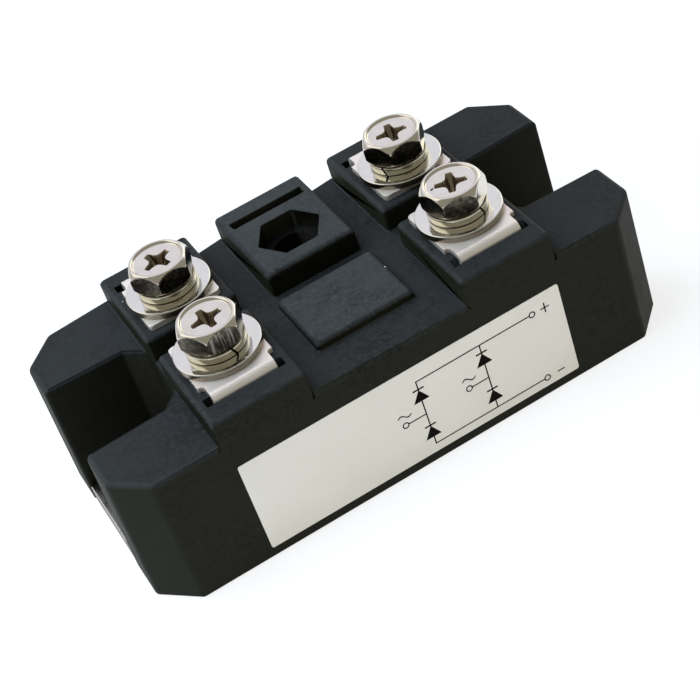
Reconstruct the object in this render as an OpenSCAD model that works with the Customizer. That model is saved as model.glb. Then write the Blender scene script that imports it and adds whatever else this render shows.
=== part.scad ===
// Single-phase bridge rectifier module: a moulded case on a metal base plate, with four
// screw terminals on raised pedestals and a spare nut place between them.
// X runs along the case, -Y is the labelled side, Z is up from the mounting face.

/* [Case] */
// Length of the case at its lower rim
case_length = 80; // [76:1:110]
// Width of the case at its lower rim
case_width = 40; // [36:1:60]
// Height of the deck and end lobes above the mounting face
deck_height = 20.9; // [19:0.1:32]
// Draft of the outer walls in degrees
wall_draft = 1; // [0:0.25:3]
// Leg of the 45 degree chamfer at each upright corner
corner_chamfer = 5; // [2:0.5:7]
// Chamfer along the upper edges of the moulding
edge_chamfer = 0.5; // [0.2:0.1:1]
// Wall thickness of the moulding
wall = 2.2; // [1.6:0.1:3]
// Gap that keeps the lower rim off the mounting face
rim_lift = 0.2; // [0.1:0.1:0.6]

/* [End recesses] */
// Depth of each end recess along the case
recess_depth = 14.8; // [13:0.1:18]
// Width of the recess at its mouth
recess_mouth = 15.8; // [14:0.1:18]
// Width of the recess where its end wall starts
recess_inner = 14.8; // [13:0.1:17]
// Leg of the 45 degree chamfer in the inner corners of the recess
recess_chamfer = 2.7; // [1:0.1:4]

/* [Pedestals] */
// Rise of the terminal pedestals above the deck
pedestal_rise = 3.85; // [3:0.05:6]
// Length of each pedestal along the case
pedestal_length = 13.7; // [12.5:0.1:16]
// Width of the groove between the front and back pedestals
groove_width = 3.8; // [2:0.1:6]
// Length of the spare terminal block between the back pedestals
spare_length = 13.8; // [12.5:0.1:15]
// Distance of the spare block's front face from the centre line
spare_front = 1.4; // [0.5:0.1:3]
// Length of the low pad in front of the spare block
pad_length = 14.8; // [10:0.1:18]
// Width of the low pad from front to back
pad_width = 12.3; // [8:0.1:14]
// Distance of the low pad's back edge from the centre line
pad_back = 0.8; // [0:0.1:3]
// Rise of the low pad above the deck
pad_rise = 1.4; // [0.5:0.1:2.5]

/* [Terminals] */
// Thickness of the terminal tabs
tab_thickness = 0.85; // [0.6:0.05:1.2]
// Width of a tab under its screw
tab_width = 10.8; // [9.5:0.1:12]
// Width of a tab where it bends down into the case
leg_width = 9.2; // [6:0.1:9.4]
// Inner radius of the bends of a tab
bend_radius = 0.4; // [0.2:0.1:1]
// Distance of a tab's free end from the centre line
tab_end = 3; // [2:0.1:4]
// Radius of the corners at a tab's free end
tab_corner = 0.7; // [0.2:0.1:2]
// Length of a tab's foot on its copper pad
foot_length = 3; // [2:0.1:4]
// Clearance of a tab's foot from the walls round it, on each side
foot_clearance = 0.05; // [0.05:0.05:0.4]
// Distance of a tab's notches from the start of its upper bend
notch_offset = 1.7; // [1:0.1:3]
// Radius of the inner corners of a tab's notches
notch_radius = 0.5; // [0.2:0.1:1]
// Distance from a tab leg's middle to the long face of the case
slot_inset = 4.35; // [3.5:0.05:6]
// Length of the slots that the tab legs pass through
slot_length = 11.4; // [9.6:0.1:12]
// Least wall between the end of a slot and the side of its pedestal
slot_wall = 1.1; // [0.8:0.1:2]
// Clearance of a tab leg in its slot, on each side
slot_clearance = 0.15; // [0.1:0.05:0.3]
// Distance from a terminal screw's axis to the long face of the case
screw_inset = 11.8; // [9:0.1:20]

/* [Fasteners] */
// Thread diameter of the terminal screws
screw_diameter = 5; // [4:0.5:5]
// Length of a screw under its head
screw_length = 10; // [9:0.5:12]
// Width across flats of the screw heads
head_flats = 8; // [7:0.1:9]
// Height of the screw heads
head_height = 3.4; // [3:0.1:4.5]
// Diameter of the sunk disc in the top of a head
dish_diameter = 7; // [5:0.1:7.2]
// Depth of the sunk disc
dish_depth = 0.35; // [0.1:0.05:0.6]
// Span of the cross recess at the top
cross_span = 4.6; // [3:0.1:5]
// Width of the arms of the cross recess
cross_width = 1; // [0.6:0.1:1.4]
// Depth of the cross recess
cross_depth = 1.9; // [1:0.1:2.4]
// Outer diameter of the flat washers
washer_diameter = 12; // [9:0.5:12.5]
// Least gap between the flat washers of a front and a back terminal
washer_gap = 0.6; // [0.4:0.1:2]
// Thickness of the flat washers
washer_thickness = 1; // [0.6:0.1:1.4]
// Outer diameter of the split spring washers
spring_diameter = 8.4; // [7.6:0.1:9.2]
// Thickness of the spring washers
spring_thickness = 1.3; // [1:0.1:1.6]
// Width of the split in a spring washer
spring_split = 0.5; // [0.3:0.1:1]
// Width across flats of the captive nuts
nut_flats = 8; // [7:0.1:8.5]
// Thickness of the captive nuts
nut_thickness = 2.7; // [2:0.1:3.2]
// Depth of the hexagonal nut pockets
pocket_depth = 2.8; // [2.4:0.1:3.4]
// Clearance of a nut in its pocket, on each side
pocket_clearance = 0.2; // [0.1:0.05:0.4]
// Diameter of the screw wells under the pockets
well_diameter = 6; // [5.6:0.1:7]
// Clearance between a screw and its nut's bore, all round
thread_clearance = 0.05; // [0.02:0.01:0.1]
// Clearance of the screws in washers and tabs, all round
washer_clearance = 0.15; // [0.1:0.05:0.3]
// Free depth of a well below the end of its screw
well_margin = 1.4; // [0.5:0.1:3]

/* [Base] */
// Thickness of the base plate
plate_thickness = 3; // [2:0.25:5]
// Width of the ledge on which the case rests on the plate
plate_ledge = 0.6; // [0.3:0.1:1]
// Gap between the plate and the case round it
plate_gap = 0.2; // [0.1:0.05:0.5]
// Gap between each side of a tongue of the plate and the mouth of its recess
tongue_gap = 0.35; // [0.3:0.05:1]
// Distance of the plate's tongue ends from the ends of the case
tongue_inset = 0.15; // [0:0.05:1]
// Diameter of the mounting holes
mount_hole = 6; // [4.5:0.1:6.6]
// Distance of the mounting holes from the ends of the case
mount_inset = 7.5; // [6:0.1:9]

/* [Label] */
// Length of the label
label_length = 48.5; // [30:0.5:60]
// Height of the label
label_height = 15; // [10:0.1:16]
// Height of the label's lower edge above the mounting face
label_rise = 1.7; // [1:0.05:3]
// Thickness of the label
label_thickness = 0.1; // [0.05:0.05:0.3]

/* [Inside] */
// Thickness of the ceramic insulator
insulator_thickness = 0.8; // [0.4:0.1:1.2]
// Gap between the insulator and the case
insulator_gap = 0.3; // [0.2:0.1:0.8]
// Thickness of the copper pads
copper_thickness = 0.4; // [0.2:0.1:0.8]
// Bare edge of the insulator round the copper
copper_margin = 0.5; // [0.3:0.1:1]
// Gap between neighbouring copper pads
copper_gap = 1.5; // [1:0.1:3]
// Side of each square diode chip
chip_size = 7; // [5:0.1:8]
// Distance of the chips from the edges of their copper pads
chip_margin = 1; // [0.5:0.1:2]
// Least gap between a chip and a tab's foot
chip_gap = 0.3; // [0.2:0.1:1]
// Thickness of each diode chip
chip_thickness = 0.4; // [0.2:0.1:0.6]
// Width of the jumper strips
jumper_width = 5; // [3:0.1:6]
// Thickness of the jumper strips
jumper_thickness = 0.5; // [0.3:0.1:0.8]
// Height of the jumpers' bridges above the copper
jumper_rise = 2.6; // [2:0.1:4]
// Length of the jumpers' flat ends
jumper_foot = 5; // [3:0.1:6]
// Height of the potting compound's surface above the mounting face
potting_height = 11.5; // [9:0.1:12.5]

/* [Screw turns] */
// Turn of the front left screw's hexagon in degrees
hexagon_front_left = 4; // [0:1:360]
// Turn of the front left screw's cross recess in degrees
cross_front_left = 6; // [0:1:360]
// Direction of the front left spring washer's split in degrees
split_front_left = 284; // [0:1:360]
// Turn of the front right screw's hexagon in degrees
hexagon_front_right = 44; // [0:1:360]
// Turn of the front right screw's cross recess in degrees
cross_front_right = 67; // [0:1:360]
// Direction of the front right spring washer's split in degrees
split_front_right = 295; // [0:1:360]
// Turn of the back left screw's hexagon in degrees
hexagon_back_left = 6; // [0:1:360]
// Turn of the back left screw's cross recess in degrees
cross_back_left = 24; // [0:1:360]
// Direction of the back left spring washer's split in degrees
split_back_left = 20; // [0:1:360]
// Turn of the back right screw's hexagon in degrees
hexagon_back_right = 58; // [0:1:360]
// Turn of the back right screw's cross recess in degrees
cross_back_right = 79; // [0:1:360]
// Direction of the back right spring washer's split in degrees
split_back_right = 215; // [0:1:360]

/* [Hidden] */
$fn = 64;

// Over-travel of cutting shapes past the faces that they cut.
cut = 1;
half_length = case_length / 2;
half_width = case_width / 2;
pedestal_top = deck_height + pedestal_rise;
pedestal_outer = half_length - recess_depth;
pedestal_inner = pedestal_outer - pedestal_length;
groove_half = groove_width / 2;
terminal_x = (pedestal_outer + pedestal_inner) / 2;
slot_y = half_width - slot_inset;
slot_width = tab_thickness + 2 * slot_clearance;
screw_y = max(half_width - screw_inset, (washer_diameter + washer_gap) / 2);
screw_radius = screw_diameter / 2;
// The stack on a tab, from the tab up to the head.
tab_top = pedestal_top + tab_thickness;
washer_top = tab_top + washer_thickness;
head_seat = washer_top + spring_thickness;
screw_tip = head_seat - screw_length;
well_floor = min(pedestal_top - pocket_depth - cut, screw_tip - well_margin);
pocket_flats = nut_flats + 2 * pocket_clearance;
// The hollow under the deck, and the bosses that hang into it.
hollow_half_x = pedestal_outer - wall;
hollow_half_y = half_width - wall;
hollow_top = deck_height - wall;
// A slot and a tab's leg stay inside the pedestal's walls.
slot_span = min(slot_length, pedestal_length - 2 * slot_wall);
leg_span = min(leg_width, pedestal_length - 2 * (wall + foot_clearance));
boss_floor = well_floor - wall / 2;
boss_radius = well_diameter / 2 + wall;
// Levels inside, from the base plate up.
insulator_top = plate_thickness + insulator_thickness;
copper_top = insulator_top + copper_thickness;
chip_top = copper_top + chip_thickness;
insulator_half_x = hollow_half_x - insulator_gap;
insulator_half_y = hollow_half_y - insulator_gap;
copper_half_x = insulator_half_x - copper_margin;
copper_half_y = insulator_half_y - copper_margin;
// The bend of a tab: its centre, and where the notches start.
bend_outer = bend_radius + tab_thickness;
bend_y = slot_y - tab_thickness / 2 - bend_radius;
bend_z = pedestal_top - bend_radius;
notch_y = bend_y - notch_offset;
foot_bend_z = copper_top + bend_outer;
// A chip fits between a pad's inner edge and a tab's foot.
chip_edge = copper_gap / 2 + chip_margin;
chip_side = min(chip_size, bend_y - foot_length - chip_gap - chip_edge);
// A jumper spans from the pad on one side of a gap to the chip on the other.
jumper_reach = chip_edge + chip_side / 2;
side_chip_x = copper_half_x - chip_margin - chip_side;
end_chip_y = copper_half_y / 2;

// Two facing drafted walls, half apart at the bottom, with chamfered upper edges.
module wall_pair(half, height, run, turn) {
    lean = tan(wall_draft);
    shoulder = height - edge_chamfer;
    crown = half - height * lean - edge_chamfer;
    rotate([0, 0, turn])
        rotate([90, 0, 0])
            linear_extrude(run, center = true)
                polygon([[-half, 0], [half, 0], [half - shoulder * lean, shoulder],
                    [crown, height], [-crown, height], [-half + shoulder * lean, shoulder]]);
}

// The outer form of the moulding up to one height: four pairs of drafted walls.
module case_envelope(height) {
    diagonal = (half_length + half_width - corner_chamfer) / sqrt(2);
    run = 2 * (case_length + case_width);
    intersection() {
        wall_pair(half_length, height, run, 0);
        wall_pair(half_width, height, run, 90);
        wall_pair(diagonal, height, run, 45);
        wall_pair(diagonal, height, run, -45);
    }
}

// An upright block between two corners, with chamfered upper edges.
module chamfered_block(low, high) {
    intersection() {
        translate([0, high[1], 0])
            rotate([90, 0, 0])
                linear_extrude(high[1] - low[1])
                    chamfered_profile([low[0], low[2]], [high[0], high[2]]);
        translate([low[0], 0, 0])
            rotate([90, 0, 90])
                linear_extrude(high[0] - low[0])
                    chamfered_profile([low[1], low[2]], [high[1], high[2]]);
    }
}

module chamfered_profile(low, high) {
    polygon([low, [high[0], low[1]], [high[0], high[1] - edge_chamfer],
        [high[0] - edge_chamfer, high[1]], [low[0] + edge_chamfer, high[1]],
        [low[0], high[1] - edge_chamfer]]);
}

// A box between two corners.
module block(low, high) {
    translate(low)
        cube(high - low);
}

module hexagon(flats) {
    circle(r = flats / 2 / cos(30), $fn = 6);
}

// Repeats a child made for the back right corner at one of the four terminals.
module at_corner(right, back) {
    mirror([right ? 0 : 1, 0, 0])
        mirror([0, back ? 0 : 1, 0])
            children();
}

module at_every_corner() {
    for (right = [false, true])
        for (back = [false, true])
            at_corner(right, back)
                children();
}

// Places a child at the screw axis of one terminal, without mirroring it.
module at_screw(right, back) {
    translate([right ? terminal_x : -terminal_x, back ? screw_y : -screw_y, 0])
        children();
}

// The four pedestals, the spare block and the low pad, cut to the drafted outer walls.
module raised_parts() {
    beyond = half_width + cut;
    intersection() {
        case_envelope(pedestal_top);
        union() {
            at_every_corner()
                chamfered_block([pedestal_inner, groove_half, deck_height - cut],
                    [pedestal_outer, beyond, pedestal_top]);
            chamfered_block([-spare_length / 2, spare_front, deck_height - cut],
                [spare_length / 2, beyond, pedestal_top]);
        }
    }
    chamfered_block([-pad_length / 2, -pad_back - pad_width, deck_height - cut],
        [pad_length / 2, -pad_back, deck_height + pad_rise]);
}

// The through recess at one end, where a mounting screw goes down to the plate.
module end_recess() {
    mouth = recess_mouth / 2;
    inner = recess_inner / 2;
    end = inner - recess_chamfer;
    translate([0, 0, -cut])
        linear_extrude(deck_height + 2 * cut)
            polygon([[half_length + cut, mouth], [pedestal_outer + recess_chamfer, inner],
                [pedestal_outer, end], [pedestal_outer, -end],
                [pedestal_outer + recess_chamfer, -inner], [half_length + cut, -mouth]]);
}

// The core under one end lobe, open to the plate below.
module lobe_core() {
    low_x = pedestal_outer + wall;
    high_x = half_length - wall;
    low_y = recess_mouth / 2 + wall;
    high_y = half_width - wall;
    corner = corner_chamfer - wall / 2;
    translate([0, 0, -cut])
        linear_extrude(hollow_top + cut)
            polygon([[low_x, low_y], [high_x, low_y], [high_x, high_y - corner],
                [high_x - corner, high_y], [low_x, high_y]]);
}

// Plan of the base plate: a body with chamfered corners and a tongue in each recess.
// The right side's points, turned half a turn, give the left side's.
module plate_plan(gap) {
    body_x = half_length - wall + plate_ledge - gap;
    body_y = half_width - wall + plate_ledge - gap;
    tongue_x = half_length - tongue_inset;
    tongue_y = recess_mouth / 2 - tongue_gap - gap;
    corner = corner_chamfer;
    right_side = [[body_x - corner, -body_y], [body_x, -body_y + corner], [body_x, -tongue_y],
        [tongue_x, -tongue_y], [tongue_x, tongue_y], [body_x, tongue_y],
        [body_x, body_y - corner], [body_x - corner, body_y]];
    polygon([for (side = [1, -1]) for (point = right_side) side * point]);
}

// Nut pocket, screw well and tab slot of one terminal place, about the screw axis.
module terminal_cuts() {
    lead = bend_radius + slot_clearance;
    slot_offset = slot_y - screw_y;
    translate([0, 0, pedestal_top - pocket_depth])
        linear_extrude(pocket_depth + cut)
            hexagon(pocket_flats);
    translate([0, 0, well_floor])
        cylinder(d = well_diameter, h = pedestal_top - well_floor);
    translate([-slot_span / 2, slot_offset - slot_width / 2, 0])
        cube([slot_span, slot_width, pedestal_top + cut]);
    // Lead-in that clears the inside of the tab's bend.
    translate([-slot_span / 2, slot_offset - slot_width / 2, pedestal_top])
        rotate([90, 0, 90])
            linear_extrude(slot_span)
                polygon([[-lead, cut], [-lead, 0], [0, -lead - bend_radius], [cut / 2, 0],
                    [cut / 2, cut]]);
}

// What hangs from the roof of the hollow round one terminal place.
module terminal_boss() {
    translate([0, 0, boss_floor])
        cylinder(r = boss_radius, h = deck_height - boss_floor);
}

module slot_boss() {
    half_x = slot_span / 2 + wall / 2;
    low_y = slot_y - screw_y - slot_width / 2 - wall / 2;
    block([-half_x, low_y, boss_floor], [half_x, half_width - screw_y, deck_height]);
}

// The moulded housing: drafted walls, end lobes and recesses, pedestals, a hollow
// underside with screw bosses, and nut pockets and slots for five terminal places.
module case() {
    color([0.16, 0.17, 0.18])
        difference() {
            union() {
                case_envelope(deck_height);
                raised_parts();
            }
            translate([0, 0, -cut])
                cube([4 * case_length, 4 * case_width, 2 * (rim_lift + cut)], center = true);
            translate([0, 0, -cut])
                linear_extrude(plate_thickness + cut)
                    plate_plan(-plate_gap);
            for (side = [0, 1])
                mirror([side, 0, 0])
                    end_recess();
            at_every_corner()
                lobe_core();
            main_hollow();
            at_every_corner()
                translate([terminal_x, screw_y, 0])
                    terminal_cuts();
            translate([0, screw_y, 0])
                terminal_cuts();
        }
}

// The space under the deck that holds the rectifier itself.
module main_hollow() {
    difference() {
        block([-hollow_half_x, -hollow_half_y, 0], [hollow_half_x, hollow_half_y, hollow_top]);
        at_every_corner()
            translate([terminal_x, screw_y, 0]) {
                terminal_boss();
                slot_boss();
            }
        translate([0, screw_y, 0]) {
            terminal_boss();
            slot_boss();
        }
    }
}

// The metal plate that the case is bonded to, with its two mounting holes.
module base_plate() {
    color([0.72, 0.72, 0.7])
        difference() {
            linear_extrude(plate_thickness)
                plate_plan(0);
            for (side = [-1, 1])
                translate([side * (half_length - mount_inset), 0, -cut])
                    cylinder(d = mount_hole, h = plate_thickness + 2 * cut);
        }
}

// The printed label, which lies on the drafted front wall.
module label() {
    color([0.82, 0.81, 0.78])
        translate([0, -half_width, 0])
            rotate([-wall_draft, 0, 0])
                translate([-label_length / 2, -label_thickness, label_rise])
                    cube([label_length, label_thickness, label_height]);
}

// One quarter of a bend in a tab, from its centre, in the plane of the tab's side.
module bend_quarter(up) {
    intersection() {
        difference() {
            circle(bend_outer);
            circle(bend_radius);
        }
        translate([0, up ? 0 : -bend_outer])
            square(bend_outer);
    }
}

// Plan of the tab's flat: wide under the screw, narrow where it bends.
module tab_plan() {
    difference() {
        union() {
            translate([-tab_width / 2, tab_end])
                square([tab_width, notch_y - tab_end]);
            translate([-leg_span / 2, tab_end])
                square([leg_span, slot_y + bend_outer - tab_end]);
            for (side = [-1, 1])
                translate([side * leg_span / 2, notch_y])
                    notch_fillet(side);
        }
        translate([0, screw_y])
            circle(d = screw_diameter + 2 * washer_clearance);
        for (side = [-1, 1])
            translate([side * tab_width / 2, tab_end])
                round_off(side);
    }
}

// What a rounded corner leaves off the square corner of a tab's free end.
module round_off(side) {
    difference() {
        translate([min(0, -side * tab_corner) - cut * (1 - side) / 2, -cut])
            square([tab_corner + cut, tab_corner + cut]);
        translate([-side * tab_corner, tab_corner])
            circle(tab_corner);
    }
}

module notch_fillet(side) {
    difference() {
        translate([min(0, side * notch_radius), 0])
            square(notch_radius);
        translate([side * notch_radius, notch_radius])
            circle(notch_radius);
    }
}

// A copper tab for the back right place: flat under the screw, bent over the edge of
// the slot, and down to a foot on the copper pad.
module tab() {
    color([0.85, 0.83, 0.78])
        translate([terminal_x, 0, 0]) {
            intersection() {
                translate([0, 0, bend_z])
                    linear_extrude(bend_outer + cut)
                        tab_plan();
                translate([-tab_width / 2, 0, 0])
                    rotate([90, 0, 90])
                        linear_extrude(tab_width) {
                            translate([tab_end, pedestal_top])
                                square([bend_y - tab_end, tab_thickness]);
                            translate([bend_y, bend_z])
                                bend_quarter(true);
                        }
            }
            translate([-leg_span / 2, 0, 0])
                rotate([90, 0, 90])
                    linear_extrude(leg_span) {
                        translate([slot_y - tab_thickness / 2, foot_bend_z])
                            square([tab_thickness, bend_z - foot_bend_z]);
                        translate([bend_y, foot_bend_z])
                            bend_quarter(false);
                        translate([bend_y - foot_length, copper_top])
                            square([foot_length, tab_thickness]);
                    }
        }
}

// Chamfers the corners of a hexagon of the given width and height, on top and below.
module corner_turning(flats, height) {
    corner = flats / 2 / cos(30);
    flat = flats / 2;
    bevel = (corner - flat) * tan(30);
    rotate_extrude()
        polygon([[0, 0], [flat, 0], [corner, bevel], [corner, height - bevel], [flat, height],
            [0, height]]);
}

module cross_recess() {
    deepest = cross_span / 4;
    intersection() {
        union() {
            cylinder(r1 = deepest, r2 = cross_span / 2, h = cross_depth);
            translate([0, 0, cross_depth])
                cylinder(d = cross_span, h = cut);
        }
        union() {
            translate([-cross_span / 2, -cross_width / 2, 0])
                cube([cross_span, cross_width, cross_depth + cut]);
            translate([-cross_width / 2, -cross_span / 2, 0])
                cube([cross_width, cross_span, cross_depth + cut]);
        }
    }
}

// A hexagon head screw with a sunk top and a cross recess, each turned to its own angle.
module screw(hexagon_turn, cross_turn) {
    tip = screw_diameter / 10;
    dish_floor = head_height - dish_depth;
    color([0.8, 0.79, 0.76])
        translate([0, 0, head_seat])
            difference() {
                union() {
                    intersection() {
                        linear_extrude(head_height)
                            rotate([0, 0, hexagon_turn])
                                hexagon(head_flats);
                        corner_turning(head_flats, head_height);
                    }
                    translate([0, 0, -screw_length])
                        cylinder(r1 = screw_radius - tip, r2 = screw_radius, h = tip);
                    translate([0, 0, tip - screw_length])
                        cylinder(r = screw_radius, h = screw_length - tip);
                }
                translate([0, 0, dish_floor])
                    cylinder(d1 = dish_diameter - dish_depth, d2 = dish_diameter + dish_depth,
                        h = 2 * dish_depth);
                translate([0, 0, dish_floor - cross_depth])
                    rotate([0, 0, cross_turn])
                        cross_recess();
            }
}

module ring(outer, inner, height) {
    difference() {
        cylinder(d = outer, h = height);
        translate([0, 0, -cut])
            cylinder(d = inner, h = height + 2 * cut);
    }
}

// A split spring washer, drawn down flat, with its slanting split turned to one angle.
module spring_washer(turn) {
    slant = 25;
    color([0.75, 0.74, 0.7])
        translate([0, 0, washer_top])
            rotate([0, 0, turn])
                difference() {
                    ring(spring_diameter, screw_diameter + washer_clearance, spring_thickness);
                    translate([0, 0, spring_thickness / 2])
                        rotate([slant, 0, 0])
                            translate([0, -spring_split / 2, -2 * spring_thickness])
                                cube([spring_diameter, spring_split, 4 * spring_thickness]);
                }
}

module flat_washer() {
    color([0.82, 0.81, 0.77])
        translate([0, 0, tab_top])
            ring(washer_diameter, screw_diameter + 2 * washer_clearance, washer_thickness);
}

// A thin nut in its pocket, drawn up against the tab.
module nut() {
    color([0.7, 0.68, 0.6])
        translate([0, 0, pedestal_top - nut_thickness])
            difference() {
                intersection() {
                    linear_extrude(nut_thickness)
                        hexagon(nut_flats);
                    corner_turning(nut_flats, nut_thickness);
                }
                translate([0, 0, -cut])
                    cylinder(r = screw_radius + thread_clearance, h = nut_thickness + 2 * cut);
            }
}

// The ceramic that carries the circuit and keeps it apart from the plate.
module ceramic_insulator() {
    color([0.93, 0.93, 0.9])
        block([-insulator_half_x, -insulator_half_y, plate_thickness],
            [insulator_half_x, insulator_half_y, insulator_top]);
}

// A copper pad for the back right quarter.
module copper_pad() {
    color([0.75, 0.45, 0.3])
        block([copper_gap / 2, copper_gap / 2, insulator_top],
            [copper_half_x, copper_half_y, copper_top]);
}

// A square diode chip, centred on one point of a copper pad.
module diode_chip(place) {
    color([0.35, 0.36, 0.4])
        translate([place[0] - chip_side / 2, place[1] - chip_side / 2, copper_top])
            cube([chip_side, chip_side, chip_thickness]);
}

// A formed copper strip from a pad, over the gap at x = 0, to the top of a chip.
module jumper(place, turn) {
    riser = jumper_reach - jumper_foot / 2;
    color([0.78, 0.48, 0.32])
        translate([place[0], place[1], copper_top])
            rotate([0, 0, turn])
                translate([0, jumper_width / 2, 0])
                    rotate([90, 0, 0])
                        linear_extrude(jumper_width) {
                            translate([-riser - jumper_foot, 0])
                                square([jumper_foot, jumper_thickness]);
                            translate([-riser - jumper_thickness, 0])
                                square([jumper_thickness, jumper_rise]);
                            translate([-riser - jumper_thickness, jumper_rise - jumper_thickness])
                                square([2 * (riser + jumper_thickness), jumper_thickness]);
                            translate([riser, chip_thickness])
                                square([jumper_thickness, jumper_rise - chip_thickness]);
                            translate([riser, chip_thickness])
                                square([jumper_foot, jumper_thickness]);
                        }
}

// The compound that fills the hollow round the circuit.
module potting_compound() {
    color([0.25, 0.24, 0.22])
        difference() {
            block([-hollow_half_x, -hollow_half_y, plate_thickness],
                [hollow_half_x, hollow_half_y, potting_height]);
            ceramic_insulator();
            at_every_corner() {
                copper_pad();
                tab();
            }
            back_pair();
            right_pair();
            left_pair();
            front_pair();
        }
}

// Places of the four chips and of the jumpers that reach them.
module back_pair() {
    diode_chip([jumper_reach, end_chip_y]);
    jumper([0, end_chip_y], 0);
}

module right_pair() {
    diode_chip([side_chip_x, jumper_reach]);
    jumper([side_chip_x, 0], 90);
}

module left_pair() {
    diode_chip([-side_chip_x, jumper_reach]);
    jumper([-side_chip_x, 0], 90);
}

module front_pair() {
    diode_chip([jumper_reach, -end_chip_y]);
    jumper([0, -end_chip_y], 0);
}

case();
base_plate();
label();
at_corner(false, false) tab();  // tab_front_left
at_corner(true, false) tab();  // tab_front_right
at_corner(false, true) tab();  // tab_back_left
at_corner(true, true) tab();  // tab_back_right
at_screw(false, false) screw(hexagon_front_left, cross_front_left);  // screw_front_left
at_screw(true, false) screw(hexagon_front_right, cross_front_right);  // screw_front_right
at_screw(false, true) screw(hexagon_back_left, cross_back_left);  // screw_back_left
at_screw(true, true) screw(hexagon_back_right, cross_back_right);  // screw_back_right
at_screw(false, false) spring_washer(split_front_left);  // spring_washer_front_left
at_screw(true, false) spring_washer(split_front_right);  // spring_washer_front_right
at_screw(false, true) spring_washer(split_back_left);  // spring_washer_back_left
at_screw(true, true) spring_washer(split_back_right);  // spring_washer_back_right
at_screw(false, false) flat_washer();  // flat_washer_front_left
at_screw(true, false) flat_washer();  // flat_washer_front_right
at_screw(false, true) flat_washer();  // flat_washer_back_left
at_screw(true, true) flat_washer();  // flat_washer_back_right
at_screw(false, false) nut();  // nut_front_left
at_screw(true, false) nut();  // nut_front_right
at_screw(false, true) nut();  // nut_back_left
at_screw(true, true) nut();  // nut_back_right
ceramic_insulator();
at_corner(false, false) copper_pad();  // copper_pad_front_left
at_corner(true, false) copper_pad();  // copper_pad_front_right
at_corner(false, true) copper_pad();  // copper_pad_back_left
at_corner(true, true) copper_pad();  // copper_pad_back_right
diode_chip([jumper_reach, end_chip_y]);  // diode_chip_back
diode_chip([side_chip_x, jumper_reach]);  // diode_chip_right
diode_chip([-side_chip_x, jumper_reach]);  // diode_chip_left
diode_chip([jumper_reach, -end_chip_y]);  // diode_chip_front
jumper([0, end_chip_y], 0);  // jumper_back
jumper([side_chip_x, 0], 90);  // jumper_right
jumper([-side_chip_x, 0], 90);  // jumper_left
jumper([0, -end_chip_y], 0);  // jumper_front
potting_compound();
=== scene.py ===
"""Studio scene of a single-phase bridge rectifier module, built round its CAD frame.

The moulded case, the terminal hardware and the label are made here as finer pieces
that replace their CAD nodes. What lies inside the case keeps its CAD shape and gets a
finish of its own. Sizes are in millimetres, and MM turns them into scene metres.
"""

import logging
import math
from dataclasses import dataclass, field
from enum import Enum
from typing import Any, Callable, Iterable, Sequence

import bmesh
import bpy
from mathutils import Matrix, Vector


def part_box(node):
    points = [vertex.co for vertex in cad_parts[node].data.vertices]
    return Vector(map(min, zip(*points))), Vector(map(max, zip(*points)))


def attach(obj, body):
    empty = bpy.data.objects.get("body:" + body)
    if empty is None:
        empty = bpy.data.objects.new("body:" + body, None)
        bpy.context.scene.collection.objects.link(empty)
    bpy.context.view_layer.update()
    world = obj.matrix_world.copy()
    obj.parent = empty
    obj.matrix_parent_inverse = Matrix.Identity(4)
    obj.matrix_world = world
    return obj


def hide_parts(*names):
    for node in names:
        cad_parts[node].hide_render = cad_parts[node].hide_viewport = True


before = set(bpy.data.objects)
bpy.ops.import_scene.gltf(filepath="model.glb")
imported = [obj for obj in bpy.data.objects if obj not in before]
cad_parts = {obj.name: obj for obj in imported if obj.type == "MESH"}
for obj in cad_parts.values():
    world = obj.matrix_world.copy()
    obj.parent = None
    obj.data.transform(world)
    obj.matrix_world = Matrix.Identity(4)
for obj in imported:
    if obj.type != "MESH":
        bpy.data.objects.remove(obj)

MM = 0.001
MERGE = 0.001 * MM
ORIGIN = (0.0, 0.0, 0.0)
UP = (0.0, 0.0, 1.0)
WHITE = (1.0, 1.0, 1.0, 1.0)
BODY = "root"
log = logging.getLogger("rectifier")

BMesh, Vert, Edge = bmesh.types.BMesh, bmesh.types.BMVert, bmesh.types.BMEdge
Layer, Polygon = bmesh.types.BMLayerItem, bpy.types.MeshPolygon
Object, Material = bpy.types.Object, bpy.types.Material
Tree, ShaderNode, Socket = bpy.types.NodeTree, bpy.types.Node, bpy.types.NodeSocket
Colour = tuple[float, float, float]


class Slot(Enum):
    """Material slots of the record, which the log names for each new piece."""

    MOULDING = "moulding"
    BASE = "base_metal"
    LABEL = "label_film"
    TAB = "tab_plating"
    SCREW = "screw_plating"
    SPRING = "spring_plating"
    WASHER = "washer_plating"
    NUT = "nut_plating"
    ALUMINA = "alumina"
    COPPER = "bare_copper"
    SILICON = "silicon"
    POTTING = "potting"


class Corner(Enum):
    """The four terminal places, with the sign of x and of y of each."""

    FRONT_LEFT = (-1, -1)
    FRONT_RIGHT = (1, -1)
    BACK_LEFT = (-1, 1)
    BACK_RIGHT = (1, 1)

    @property
    def tag(self) -> str:
        """The corner's name as node names end with it."""
        return self.name.lower()


# ---------------------------------------------------------------- mesh helpers


def box_mm(node: str) -> tuple[Vector, Vector]:
    """Finds where a CAD node lies.

    Args:
        node: Name of the CAD node.

    Returns:
        Its lowest and highest corner in millimetres.
    """
    low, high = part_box(node)
    return low / MM, high / MM


def merged_copy(node: str) -> BMesh:
    """Copies a CAD node's mesh and joins its loose triangles into flat faces.

    Args:
        node: Name of the CAD node.

    Returns:
        A bmesh with one polygon for each flat region.
    """
    bm = bmesh.new()
    bm.from_mesh(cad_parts[node].data)
    bmesh.ops.remove_doubles(bm, verts=bm.verts, dist=2 * MERGE)
    bmesh.ops.dissolve_limit(
        bm, angle_limit=math.radians(0.2), verts=bm.verts, edges=bm.edges
    )
    return bm


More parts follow.
